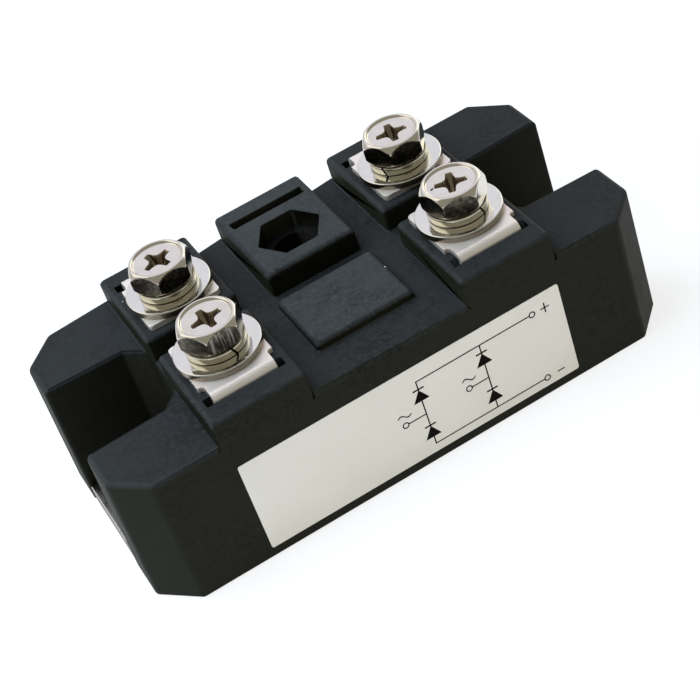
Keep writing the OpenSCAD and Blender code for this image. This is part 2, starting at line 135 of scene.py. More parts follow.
def add_box(bm: BMesh, low: Sequence[float], high: Sequence[float]) -> None:
    """Adds a closed box between two corners.

    Args:
        bm: The bmesh that gets the box.
        low: Lowest corner in millimetres.
        high: Highest corner in millimetres.
    """
    low, high = Vector(low) * MM, Vector(high) * MM
    made = bmesh.ops.create_cube(bm, size=1.0)["verts"]
    bmesh.ops.scale(bm, vec=high - low, verts=made)
    bmesh.ops.translate(bm, vec=(low + high) / 2, verts=made)


def add_outline(bm: BMesh, points: Iterable[Sequence[float]]) -> list[Vert]:
    """Adds an open run of edges through a few points.

    Args:
        bm: The bmesh that gets the run.
        points: The points in millimetres.

    Returns:
        The new vertices in order.
    """
    verts = [bm.verts.new(Vector(point) * MM) for point in points]
    for first, second in zip(verts, verts[1:]):
        bm.edges.new((first, second))
    return verts


def close_run(bm: BMesh, verts: Sequence[Vert]) -> list[Edge]:
    """Joins the ends of a run and returns every edge of the closed loop."""
    bm.edges.new((verts[-1], verts[0]))
    ring = set(verts)
    return [edge for edge in bm.edges if set(edge.verts) <= ring]


def only(kind: type, items: Iterable[Any]) -> list[Any]:
    """Picks the items of one kind from what an operator made."""
    return [item for item in items if isinstance(item, kind)]


def corners(edges: Iterable[Edge]) -> list[Vert]:
    """Lists the vertices of some edges, each once."""
    return list({vert for edge in edges for vert in edge.verts})


def round_off(
    bm: BMesh,
    geom: Iterable[Any],
    radius: float,
    segments: int = 5,
    affect: str = "VERTICES",
) -> None:
    """Rounds corners or edges.

    Args:
        bm: The bmesh that holds them.
        geom: The vertices or edges.
        radius: The radius in millimetres.
        segments: Number of faces or edges across the rounding.
        affect: What is rounded, as the bevel operator names it.
    """
    bmesh.ops.bevel(
        bm, geom=list(geom), offset=radius * MM, offset_type="OFFSET", affect=affect,
        segments=segments, profile=0.5, material=-1,
    )


def turn_z(bm: BMesh, angle: float, verts: Iterable[Vert]) -> None:
    """Turns vertices about the z axis by an angle in radians."""
    bmesh.ops.rotate(bm, cent=ORIGIN, matrix=Matrix.Rotation(angle, 3, "Z"), verts=verts)


def mark_faces(obj: Object, name: str, level: Callable[[Polygon], float]) -> None:
    """Gives every face of a piece a value that its finish reads.

    Args:
        obj: The piece.
        name: Name of the attribute.
        level: Chooses the value of one face.
    """
    layer = obj.data.attributes.new(name, "FLOAT", "FACE")
    for face, value in zip(obj.data.polygons, layer.data):
        value.value = level(face)


def finished(name: str, bm: BMesh, smooth_angle: float = 38.0) -> Object:
    """Closes the work on a bmesh: merged, faces outward, smooth up to an angle.

    Args:
        name: Name of the new piece.
        bm: The bmesh, which is freed.
        smooth_angle: Angle in degrees past which an edge stays sharp.

    Returns:
        The linked object, at the origin and unturned.
    """
    bmesh.ops.remove_doubles(bm, verts=bm.verts, dist=MERGE)
    bmesh.ops.recalc_face_normals(bm, faces=bm.faces)
    mesh = bpy.data.meshes.new(name)
    bm.to_mesh(mesh)
    bm.free()
    mesh.shade_smooth()
    mesh.set_sharp_from_angle(angle=math.radians(smooth_angle))
    obj = bpy.data.objects.new(name, mesh)
    bpy.context.scene.collection.objects.link(obj)
    return obj


def apply_modifiers(obj: Object) -> None:
    """Puts a piece's modified mesh in place of its mesh."""
    graph = bpy.context.evaluated_depsgraph_get()
    mesh = bpy.data.meshes.new_from_object(obj.evaluated_get(graph))
    old, name = obj.data, obj.data.name
    obj.modifiers.clear()
    obj.data = mesh
    bpy.data.meshes.remove(old)
    mesh.name = name


def baked(obj: Object, smooth_angle: float = 38.0) -> Object:
    """Applies a piece's modifiers to its mesh.

    Args:
        obj: The piece.
        smooth_angle: Angle in degrees past which an edge stays sharp.

    Returns:
        The same piece, without modifiers.
    """
    apply_modifiers(obj)
    obj.data.shade_smooth()
    obj.data.set_sharp_from_angle(angle=math.radians(smooth_angle))
    flatten = obj.modifiers.new("flat_faces", "WEIGHTED_NORMAL")
    flatten.weight = 100
    flatten.keep_sharp = True
    apply_modifiers(obj)
    return obj


def soften(obj: Object, width: float, segments: int, angle: float = 40.0) -> None:
    """Adds a Bevel modifier to a piece's sharp edges.

    Args:
        obj: The piece.
        width: Width of the bevel in millimetres.
        segments: Number of faces across the bevel.
        angle: Least angle in degrees between faces for an edge to be bevelled.
    """
    bevel = obj.modifiers.new("soft_edges", "BEVEL")
    bevel.width = width * MM
    bevel.segments = segments
    bevel.profile = 0.5
    bevel.material = -1
    bevel.limit_method = "ANGLE"
    bevel.angle_limit = math.radians(angle)
    bevel.harden_normals = False


def spun_ring(
    bm: BMesh,
    loop: Sequence[Edge],
    centre: Vector,
    axis: Sequence[float],
    steps: int,
) -> None:
    """Spins a closed profile through a full turn into a ring.

    Args:
        bm: The bmesh that holds the profile.
        loop: The profile's edges.
        centre: A point on the axis in metres.
        axis: Direction of the axis.
        steps: Number of steps in the full turn.
    """
    bmesh.ops.spin(
        bm, geom=[*loop, *corners(loop)], cent=centre, axis=axis, dvec=ORIGIN,
        angle=math.tau, steps=steps, use_merge=True,
    )


def pulled(bm: BMesh, loop: list[Edge], by: Sequence[float]) -> list[Edge]:
    """Extrudes a loop of edges.

    Args:
        bm: The bmesh that holds the loop.
        loop: The loop's edges.
        by: How far it is moved, in millimetres.

    Returns:
        The edges of the new loop.
    """
    made = bmesh.ops.extrude_edge_only(bm, edges=loop)["geom"]
    moved = only(Vert, made)
    bmesh.ops.translate(bm, vec=Vector(by) * MM, verts=moved)
    return [edge for edge in only(Edge, made) if set(edge.verts) <= set(moved)]


def enlist(obj: Object, slot: Slot, material: Material, *nodes: str) -> Object:
    """Gives a piece its finish and its body, hides the nodes that it stands for and logs its slot.

    Args:
        obj: The finished piece.
        slot: The record's material slot.
        material: The finish.
        nodes: The CAD nodes that the piece replaces.

    Returns:
        The same piece.
    """
    obj.data.materials.clear()
    obj.data.materials.append(material)
    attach(obj, BODY)
    if nodes:
        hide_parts(*nodes)
    log.info("%s: %d faces, slot %s", obj.name, len(obj.data.polygons), slot.value)
    return obj


# ---------------------------------------------------------------- node helpers


class NodeBoard:
    """A node tree with short calls for adding nodes and joining them."""

    def __init__(self, tree: Tree) -> None:
        """Keeps the tree that the nodes go into."""
        self.tree = tree

    def add(self, kind: str, inputs: dict[Any, Any] | None = None, **settings: Any) -> ShaderNode:
        """Adds a node.

        Args:
            kind: The node's Blender type.
            inputs: Values or output sockets for its input sockets, by name or index.
            settings: Properties of the node itself.

        Returns:
            The new node.
        """
        node = self.tree.nodes.new(kind)
        for name, value in settings.items():
            setattr(node, name, value)
        for name, value in (inputs or {}).items():
            if isinstance(value, Socket):
                self.tree.links.new(value, node.inputs[name])
            else:
                node.inputs[name].default_value = value
        return node

    def maths(self, operation: str, first: Any, second: Any = 0.0) -> Socket:
        """Adds a Math node and returns its value socket."""
        return self.add("ShaderNodeMath", {0: first, 1: second}, operation=operation).outputs[0]

    def send(self, node: ShaderNode, sockets: dict[str, Socket]) -> None:
        """Joins output sockets to the inputs of a node, by name."""
        for name, socket in sockets.items():
            self.tree.links.new(socket, node.inputs[name])

    def times(self, first: Any, second: Any) -> Socket:
        """Multiplies two values."""
        return self.maths("MULTIPLY", first, second)

    def plus(self, first: Any, second: Any) -> Socket:
        """Adds two values."""
        return self.maths("ADD", first, second)

    def marked(self, name: str) -> Socket:
        """Reads a value that the mesh carries."""
        return self.add("ShaderNodeAttribute", attribute_name=name).outputs["Fac"]

    def effect(self, group: Tree, vector: Socket, **values: float) -> Any:
        """Adds a shared effect on a vector and returns its output sockets."""
        return self.add("ShaderNodeGroup", {"Vector": vector, **values}, node_tree=group).outputs

    def noise(self, vector: Any, scale: Any, detail: float = 2.0, rough: float = 0.5) -> Socket:
        """Adds a Noise Texture and returns its factor socket."""
        sockets = {"Vector": vector, "Scale": scale, "Detail": detail, "Roughness": rough}
        return self.add("ShaderNodeTexNoise", sockets).outputs["Fac"]

    def ranged(
        self, value: Any, low: float, high: float, to_low: float = 0.0, to_high: float = 1.0
    ) -> Socket:
        """Maps a range on to another with clamped ends.

        Args:
            value: The value to map.
            low: Where the range starts.
            high: Where it ends.
            to_low: Result at its start.
            to_high: Result at its end.

        Returns:
            The mapped value.
        """
        names = ("Value", "From Min", "From Max", "To Min", "To Max")
        sockets = dict(zip(names, (value, low, high, to_low, to_high)))
        return self.add("ShaderNodeMapRange", sockets).outputs["Result"]

    def blend(self, factor: Any, first: Any, second: Any, mode: str = "MIX") -> Socket:
        """Blends two colours.

        Args:
            factor: Share of the second colour, as a value or a socket.
            first: The first colour.
            second: The second colour.
            mode: How they blend.

        Returns:
            The blended colour.
        """
        mix = self.add("ShaderNodeMix", data_type="RGBA", blend_type=mode)
        for index, value in ((0, factor), (6, first), (7, second)):
            if isinstance(value, Socket):
                self.tree.links.new(value, mix.inputs[index])
            elif index:
                mix.inputs[index].default_value = (*value, 1.0)
            else:
                mix.inputs[index].default_value = value
        return mix.outputs[2]

    def stretched(
        self, vector: Any, scale: Sequence[float], turn: Sequence[float] = ORIGIN
    ) -> Socket:
        """Adds a Mapping node that stretches a pattern and returns its vector socket."""
        sockets = {"Vector": vector, "Scale": scale, "Rotation": turn}
        return self.add("ShaderNodeMapping", sockets).outputs[0]


def new_group(
    name: str, inputs: dict[str, float | None], outputs: Sequence[str]
) -> tuple[NodeBoard, Any, ShaderNode]:
    """Starts a shader node group with named sockets.

    Args:
        name: Name of the group.
        inputs: Input names with their default values, None for a vector.
        outputs: Names of the value outputs.

    Returns:
        A board on the group's tree, its input node's sockets and its output node.
    """
    tree = bpy.data.node_groups.new(name, "ShaderNodeTree")
    for label, value in inputs.items():
        kind = "NodeSocketVector" if value is None else "NodeSocketFloat"
        socket = tree.interface.new_socket(label, in_out="INPUT", socket_type=kind)
        if value is not None:
            socket.default_value = value
    for label in outputs:
        tree.interface.new_socket(label, in_out="OUTPUT", socket_type="NodeSocketFloat")
    board = NodeBoard(tree)
    return board, board.add("NodeGroupInput").outputs, board.add("NodeGroupOutput")


class Effects:
    """The shader node groups that more than one finish uses, each built once."""

    def __init__(self) -> None:
        """Builds every group."""
        self.grain = self._grain()
        self.specks = self._specks()
        self.scratches = self._scratches()
        self.turning = self._turning()
        self.streaks = self._streaks()

    @staticmethod
    def _grain() -> Tree:
        """Builds the fine grain: a height and a slow cloudy tone."""
        inputs = {"Vector": None, "Scale": 6000.0}
        board, given, out = new_group("fine_grain", inputs, ["Height", "Tone"])
        coarse = board.noise(given["Vector"], board.times(given["Scale"], 0.35), 3.0, 0.6)
        fine = board.noise(given["Vector"], given["Scale"], 4.0, 0.65)
        height = board.plus(board.times(coarse, 0.45), board.times(fine, 0.55))
        cloud = board.noise(given["Vector"], board.times(given["Scale"], 0.03), 5.0, 0.62)
        board.send(out, {"Height": height, "Tone": board.ranged(cloud, 0.3, 0.7)})
        return board.tree

    @staticmethod
    def _specks() -> Tree:
        """Builds sparse small specks, as of dust, with a mask that is 1 on a speck."""
        inputs = {"Vector": None, "Scale": 700.0, "Share": 0.06, "Size": 0.2}
        board, given, out = new_group("sparse_specks", inputs, ["Mask"])
        sockets = {"Vector": given["Vector"], "Scale": given["Scale"]}
        cells = board.add("ShaderNodeTexVoronoi", sockets)
        chance = board.add("ShaderNodeSeparateColor", {0: cells.outputs["Color"]})
        chosen = board.maths("LESS_THAN", chance.outputs[0], given["Share"])
        reach = board.times(given["Size"], chance.outputs[1])
        inside = board.maths("LESS_THAN", cells.outputs["Distance"], reach)
        board.send(out, {"Mask": board.times(chosen, inside)})
        return board.tree

    @staticmethod
    def _scratches() -> Tree:
        """Builds long fine scratches in two directions, with a height and a mask."""
        inputs = {"Vector": None, "Scale": 900.0}
        board, given, out = new_group("fine_scratches", inputs, ["Height", "Mask"])
        lines = []
        for turn, squeeze in ((0.35, 0.035), (-1.1, 0.05)):
            drawn = board.stretched(given["Vector"], (1.0, squeeze, 1.0), (0.0, 0.0, turn))
            lines.append(board.noise(drawn, given["Scale"], 3.0, 0.7))
        height = board.times(board.plus(*lines), 0.5)
        sharp = board.ranged(board.maths("MAXIMUM", *lines), 0.62, 0.74)
        board.send(out, {"Height": height, "Mask": sharp})
        return board.tree

    @staticmethod
    def _turning() -> Tree:
        """Builds the fine rings of a turned face about the vector's own z axis."""
        inputs = {"Vector": None, "Scale": 2500.0}
        board, given, out = new_group("turned_rings", inputs, ["Height"])
        parts = board.add("ShaderNodeSeparateXYZ", {0: given["Vector"]}).outputs
        squares = [board.times(part, part) for part in (parts[0], parts[1])]
        radius = board.maths("SQRT", board.plus(*squares))
        line = board.add("ShaderNodeCombineXYZ", {0: radius}).outputs[0]
        board.send(out, {"Height": board.noise(line, given["Scale"], 3.0, 0.6)})
        return board.tree

    @staticmethod
    def _streaks() -> Tree:
        """Builds fine upright streaks, as a socket leaves on a screw's flats."""
        inputs = {"Vector": None, "Scale": 2600.0}
        board, given, out = new_group("upright_streaks", inputs, ["Lines"])
        drawn = board.stretched(given["Vector"], (1.0, 1.0, 0.07))
        lines = board.ranged(board.noise(drawn, given["Scale"], 2.0, 0.6), 0.42, 0.6)
        board.send(out, {"Lines": lines})
        return board.tree


# -------------------------------------------------------------------- finishes


def new_material(name: str) -> tuple[Material, NodeBoard, ShaderNode, Socket]:
    """Starts a material.

    Args:
        name: Name of the material.

    Returns:
        The material, a board on its tree, its shader and the object coordinates.
    """
    material = bpy.data.materials.new(name)
    material.use_nodes = True
    board = NodeBoard(material.node_tree)
    shader = material.node_tree.nodes["Principled BSDF"]
    return material, board, shader, board.add("ShaderNodeTexCoord").outputs["Object"]


@dataclass(frozen=True)
class GrainFinish:
    """A matt or satin finish with a fine grain, cloudy tone and sparse specks; when shaded, it adds
    painted shade and light from the faces' marks.
    """

    name: str
    light: Colour
    dark: Colour
    speck: Colour
    roughness: tuple[float, float]
    grain_scale: float
    grain_depth: float
    speck_share: float = 0.03
    specular: float = 0.5
    mottle: float = 0.6
    shaded: bool = False
    # Warm colour of the painted side light that upright faces are multiplied by.
    painted_wall_light: Colour = (0.75, 0.74, 0.42)
    peaks: tuple[float, float] = (0.42, 0.6)
    painted_hollow_shade: float = 0.12
    panel_level: float = 2.0

    def material(self, effects: Effects) -> Material:
        """Builds the material.

        Args:
            effects: The shared node groups.

        Returns:
            The material.
        """
        material, board, shader, place = new_material(self.name)
        grain = board.effect(effects.grain, place, Scale=self.grain_scale)
        specks = board.effect(effects.specks, place, Share=self.speck_share)
        tone = board.blend(grain["Tone"], self.dark, self.light)
        peaks = board.ranged(grain["Height"], *self.peaks, 0.0, self.mottle)
        tone = board.blend(peaks, tone, self.light)
        tone = board.blend(specks["Mask"], tone, self.speck)
        if self.shaded:
            tone = self._shade(board, tone)
        rough = board.ranged(grain["Tone"], 0.0, 1.0, *self.roughness)
        sockets = {"Strength": 1.0, "Distance": self.grain_depth * MM, "Height": grain["Height"]}
        bump = board.add("ShaderNodeBump", sockets)
        normal = bump.outputs["Normal"]
        board.send(shader, {"Base Color": tone, "Roughness": rough, "Normal": normal})
        shader.inputs["Specular IOR Level"].default_value = self.specular
        return material

    def _shade(self, board: NodeBoard, tone: Socket) -> Socket:
        """Paints shade into the hollows, lightens the panels and paints warm side light on upright
        walls, as the faces are marked.

        Args:
            board: The board on the material's tree.
            tone: The colour so far.

        Returns:
            The shaded colour.
        """
        mark = board.marked("tone")
        hollow = board.ranged(mark, -1.0, 0.0, self.painted_hollow_shade, 1.0)
        panel = board.ranged(mark, 0.0, 1.0, 1.0, self.panel_level)
        sockets = {0: tone, "Scale": board.times(hollow, panel)}
        tone = board.add("ShaderNodeVectorMath", sockets, operation="SCALE").outputs[0]
        # Painted side light: upright faces get a warm tint that stands in for light falling on
        # them.
        return board.blend(board.marked("wall"), tone, self.painted_wall_light, "MULTIPLY")


@dataclass(frozen=True)
class PlatedFinish:
    """A plated metal with fine scratches, cloudy gloss and small pits."""

    name: str
    light: Colour
    dark: Colour
    roughness: tuple[float, float]
    scratch_scale: float = 900.0
    scratch_depth: float = 0.002
    wave_depth: float = 0.004
    # Colour of the painted shade in the cross recess, under the heads, between stacked parts and on
    # shaded sides; None leaves out this and the marks on the hexagon flats.
    painted_shade: Colour | None = None
    # Painted dark reflection on the hexagon flats, mottled with the next colour.
    flats: Colour = (0.045, 0.04, 0.03)
    flat_mottle: Colour = (0.14, 0.125, 0.095)
    pits: Sequence[tuple[float, float, float]] = ()
    axis: tuple[float, float] | None = None
    metallic: float = 1.0
    cloud_scale: float = 420.0
    speck_scale: float = 1300.0
    speck_share: float = 0.04
    speck_depth: float = 0.5
    ring_share: float = 0.6
    scratch_rough: float = 0.05
    painted_shade_rough: float = 0.2
    wear_rough: float = 0.13
    flat_mottle_scale: float = 1500.0
    streak_share: float = 0.42
    streak_height: float = 2.0
    pit_reach: tuple[float, float] = (0.22, 0.13)
    pit_colour: Colour = (0.045, 0.04, 0.035)

    def material(self, effects: Effects) -> Material:
        """Builds the material.

        Args:
            effects: The shared node groups.

        Returns:
            The material.
        """
        material, board, shader, place = new_material(self.name)
        scratch = board.effect(effects.scratches, place, Scale=self.scratch_scale)
        specks = board.effect(effects.specks, place, Scale=self.speck_scale, Share=self.speck_share)
        cloud = board.noise(place, self.cloud_scale, 4.0, 0.6)
        height = scratch["Height"]
        if self.axis:
            shift = (-self.axis[0] * MM, -self.axis[1] * MM, 0.0)
            sockets = {"Vector": place, "Location": shift}
            centred = board.add("ShaderNodeMapping", sockets).outputs[0]
            rings = board.effect(effects.turning, centred)
            height = board.plus(height, board.times(rings["Height"], self.ring_share))
        tone = board.blend(board.ranged(cloud, 0.35, 0.65), self.dark, self.light)
        tone = board.blend(board.times(specks["Mask"], self.speck_depth), tone, self.dark)
        rough = board.ranged(cloud, 0.3, 0.7, *self.roughness)
        rough = board.plus(rough, board.times(scratch["Mask"], self.scratch_rough))
        # Painted shade: where the mesh marks it, the colour darkens to the painted-shade colour and
        # grows rougher.
        if self.painted_shade:
            painted_shade_mask = board.marked("painted_shade")
            tone = board.blend(painted_shade_mask, tone, self.painted_shade)
            rough = board.plus(rough, board.times(painted_shade_mask, self.painted_shade_rough))
            # Marks below 0.5 paint the hexagon flats dark, as a painted reflection of the black
            # case; marks above 0.5 add wear streaks.
            wear_and_shade = board.marked("wear_and_shade")
            streaks = board.effect(effects.streaks, place)
            lines = board.times(board.ranged(wear_and_shade, 0.5, 1.0), streaks["Lines"])
            flat = board.ranged(wear_and_shade, 0.0, 0.5)
            flat_mottle = board.ranged(board.noise(place, self.flat_mottle_scale, 4.0, 0.7), 0.44, 0.62)
            tone = board.blend(flat, tone, board.blend(flat_mottle, self.flats, self.flat_mottle))
            tone = board.blend(board.times(lines, self.streak_share), tone, self.light)
            rough = board.plus(rough, board.times(board.plus(flat, lines), self.wear_rough))
            height = board.plus(height, board.times(lines, self.streak_height))
        for pit in self.pits:
            sockets = {0: place, 1: Vector(pit) * MM}
            away = board.add("ShaderNodeVectorMath", sockets, operation="DISTANCE").outputs["Value"]
            inside = board.ranged(away, self.pit_reach[0] * MM, self.pit_reach[1] * MM)
            tone = board.blend(inside, tone, self.pit_colour)
        sockets = {"Distance": self.scratch_depth * MM, "Height": height}
        fine = board.add("ShaderNodeBump", sockets).outputs["Normal"]
        sockets = {"Distance": self.wave_depth * MM, "Height": cloud, "Normal": fine}
        broad = board.add("ShaderNodeBump", sockets).outputs["Normal"]
        board.send(shader, {"Base Color": tone, "Roughness": rough, "Normal": broad})
        shader.inputs["Metallic"].default_value = self.metallic
        return material


# ---------------------------------------------------------------------- pieces


@dataclass(frozen=True)
class Zone:
    """A rectangle on the plan of the case, in millimetres, with x counted from the middle."""

    x: tuple[float, float]
    y: tuple[float, float]

    def holds(self, x: float, y: float) -> bool:
        """Tells whether a point of the plan lies inside."""
        return self.x[0] <= x < self.x[1] and self.y[0] < y < self.y[1]


@dataclass
class MouldedCase:
    """The black housing: a merged copy of the CAD case with moulded edge radii."""

    deck: float = 20.9
    chamfer: float = 0.5
    outer_corner: float = 0.6
    block_corner: float = 0.45
    recess_edge: float = 0.5
    chamfer_edge: float = 0.3
    foot_fillet: float = 0.25
    pocket_edge: float = 0.12
    pad_edge: float = 0.35
    rim_edge: float = 0.15
    rim_top: float = 0.6
    wall_reach: float = 0.9
    corner_cut: float = 6.2
    recess_half: float = 8.0
    recess_start: float = 25.1
    end_wall: float = 25.2
    wall_cut: float = 18.0
    near_wall: float = 0.03
    near_level: float = 0.1
    smallest_angle: float = 12.0
    steep: float = 60.0
    floor_level: float = 5.0
    segments: int = 3
    pad: Zone = Zone((0.0, 7.4), (-13.1, -0.8))
    spare_pocket: Zone = Zone((0.0, 3.8), (4.5, 12.0))
    spare_block: Zone = Zone((0.0, 6.9), (1.3, 99.0))
    spare_front: float = 1.6
    spare_place: Zone = Zone((0.0, 5.9), (3.5, 16.6))
    terminal_place: Zone = Zone((12.45, 24.25), (3.5, 16.6))

    def radius(self, edge: Edge, bounds: tuple[Vector, Vector]) -> float:
        """Chooses the radius of one edge from where it lies.

        Args:
            edge: An edge of the case.
            bounds: Lowest and highest corner of the case in millimetres.

        Returns:
            Its radius in millimetres, or 0 where the edge stays as it is.
        """
        if len(edge.link_faces) != 2:
            return 0.0
        angle = math.degrees(edge.calc_face_angle_signed(0.0))
        if abs(angle) < self.smallest_angle:
            return 0.0
        ends = [vert.co / MM for vert in edge.verts]
        middle = (ends[0] + ends[1]) / 2
        run = (ends[1] - ends[0]).normalized()
        x, y, z = abs(middle.x), abs(middle.y), middle.z
        half_x, half_y, top = bounds[1].x, bounds[1].y, bounds[1].z
        on_wall = (
            x > half_x - self.wall_reach
            or y > half_y - self.wall_reach
            or x + y > half_x + half_y - self.corner_cut
        )
        in_recess = y < self.recess_half and x > self.recess_start
        on_top = z > top - 0.05
        upright = abs(run.z) > 0.9
        if z < self.rim_top:
            return self.rim_edge if on_wall or in_recess else 0.0
        if z < self.deck - 2 * self.chamfer and not (on_wall or in_recess):
            return 0.0
        if upright:
            if angle < 0:
                return self.foot_fillet if in_recess or z > self.deck - self.near_level else 0.0
            if in_recess:
                return self.recess_edge
            return self.outer_corner if on_wall else self.block_corner
        if on_top and abs(angle) > self.steep:
            return self.pocket_edge
        if x < self.pad.x[1] + 0.1 and z > self.deck + 1.0 and middle.y < 0:
            return self.pad_edge
        in_place = self.spare_place.holds(x, y) or self.terminal_place.holds(x, y)
        if z > self.deck + self.near_level and in_place:
            return 0.0
        if angle < 0:
            return self.foot_fillet if z > self.deck - self.near_level else 0.0
        return self.recess_edge if abs(angle) > self.steep else self.chamfer_edge

    def build(self, material: Material) -> Object:
        """Builds the case.

        Args:
            material: The moulding's finish.

        Returns:
            The piece.
        """
        bm = merged_copy("case")
        bounds = box_mm("case")
        widest = max(self.outer_corner, self.recess_edge)
        weight = bm.edges.layers.float.new("bevel_weight_edge")
        for edge in bm.edges:
            edge[weight] = self.radius(edge, bounds) / widest
        obj = finished("moulded_case", bm)
        bevel = obj.modifiers.new("moulded_radii", "BEVEL")
        bevel.width = widest * MM
        bevel.segments = self.segments
        bevel.profile = 0.5
        bevel.material = -1
        bevel.limit_method = "WEIGHT"
        bevel.use_clamp_overlap = False
        baked(obj, 30.0)
        self.split_end_walls(obj)
        # Painted shade and light: tone darkens hollows, recesses and the sides of raised blocks,
        # and lightens edges and panels; wall tints the upright faces.
        mark_faces(obj, "tone", lambda face: self.tone(face, bounds[1].z))
        mark_faces(obj, "wall", self.wall)
        return enlist(obj, Slot.MOULDING, material, "case")

    def split_end_walls(self, obj: Object) -> None:
        """Cuts each wall behind a recess in three, so that its main part has a simple outline.

        Args:
            obj: The finished case.
        """
        bm = bmesh.new()
        bm.from_mesh(obj.data)
        for y in (-self.wall_cut, self.wall_cut):
            walls = [
                face
                for face in bm.faces
                if abs(face.normal.x) > 0.99 and self._on_end_wall(face.calc_center_median())
            ]
            parts = {part for face in walls for part in (*face.edges, *face.verts)}
            bmesh.ops.bisect_plane(
                bm, geom=[*walls, *parts], plane_co=(0, y * MM, 0), plane_no=(0, 1, 0)
            )
        bm.to_mesh(obj.data)
        bm.free()

    def tone(self, face: Polygon, top: float) -> float:
        """Chooses how much painted shade or painted highlight the moulding gets on one face.

        Args:
            face: A face of the finished case.
            top: Height of the case in millimetres.

        Returns:
            A value from -1, painted shade in the deep hollows, to 1, lighter on the raised panels;
            rounded upper edges get a small painted highlight.
        """
        x, y, z = abs(face.center.x / MM), face.center.y / MM, face.center.z / MM
        up = face.normal.z > 0.9
        if self.pad.holds(x, y) and z > self.deck + 0.2:
            return 0.9 if up else self.painted_edge_highlight(face) if face.normal.z > 0.25 else -0.75
        if self.spare_pocket.holds(x, y) and z < top - 0.3:
            return -0.9
        if self.spare_block.holds(x, y) and z > self.deck:
            if up and z > top - 0.1:
                return 0.85
            front = face.normal.y < -0.9 and y < self.spare_front
            return -0.7 if front else self.painted_edge_highlight(face)
        in_recess = abs(y) < self.recess_half + 0.1 and x > self.recess_start - 0.1
        if in_recess or self._on_end_wall(face.center):
            return -0.9 if up else -0.3
        if self.terminal_place.holds(x, abs(y)) and z < top - 0.3:
            return -0.95
        return self.painted_edge_highlight(face) if z > self.floor_level else 0.0

    def _on_end_wall(self, point: Vector) -> bool:
        """Tells whether a point in scene metres lies on one of the two end walls."""
        return abs(abs(point.x) / MM - self.end_wall) < self.near_wall

    @staticmethod
    def wall(face: Polygon) -> float:
        """Tells how much a face stands upright, from 0 to 1, which sets how much painted side light
        it gets.
        """
        return min(max(1.2 - 2 * abs(face.normal.z), 0.0), 1.0)

    @staticmethod
    def painted_edge_highlight(face: Polygon) -> float:
        """Returns a small painted highlight for the rounded upper edges."""
        return 0.3 if 0.25 < face.normal.z < 0.93 and face.area < 20 * MM * MM else 0.0


@dataclass
class BasePlate:
    """The metal plate: a merged copy of the CAD plate with softened edges."""

    edge: float = 0.18

    def build(self, material: Material) -> Object:
        """Builds the plate and returns the piece."""
        obj = finished("ground_base_plate", merged_copy("base_plate"))
        soften(obj, self.edge, 2)
        baked(obj)
        # Painted shade on the plate's upright sides.
        mark_faces(obj, "painted_shade", lambda face: float(abs(face.normal.z) < 0.5))
        return enlist(obj, Slot.BASE, material, "base_plate")


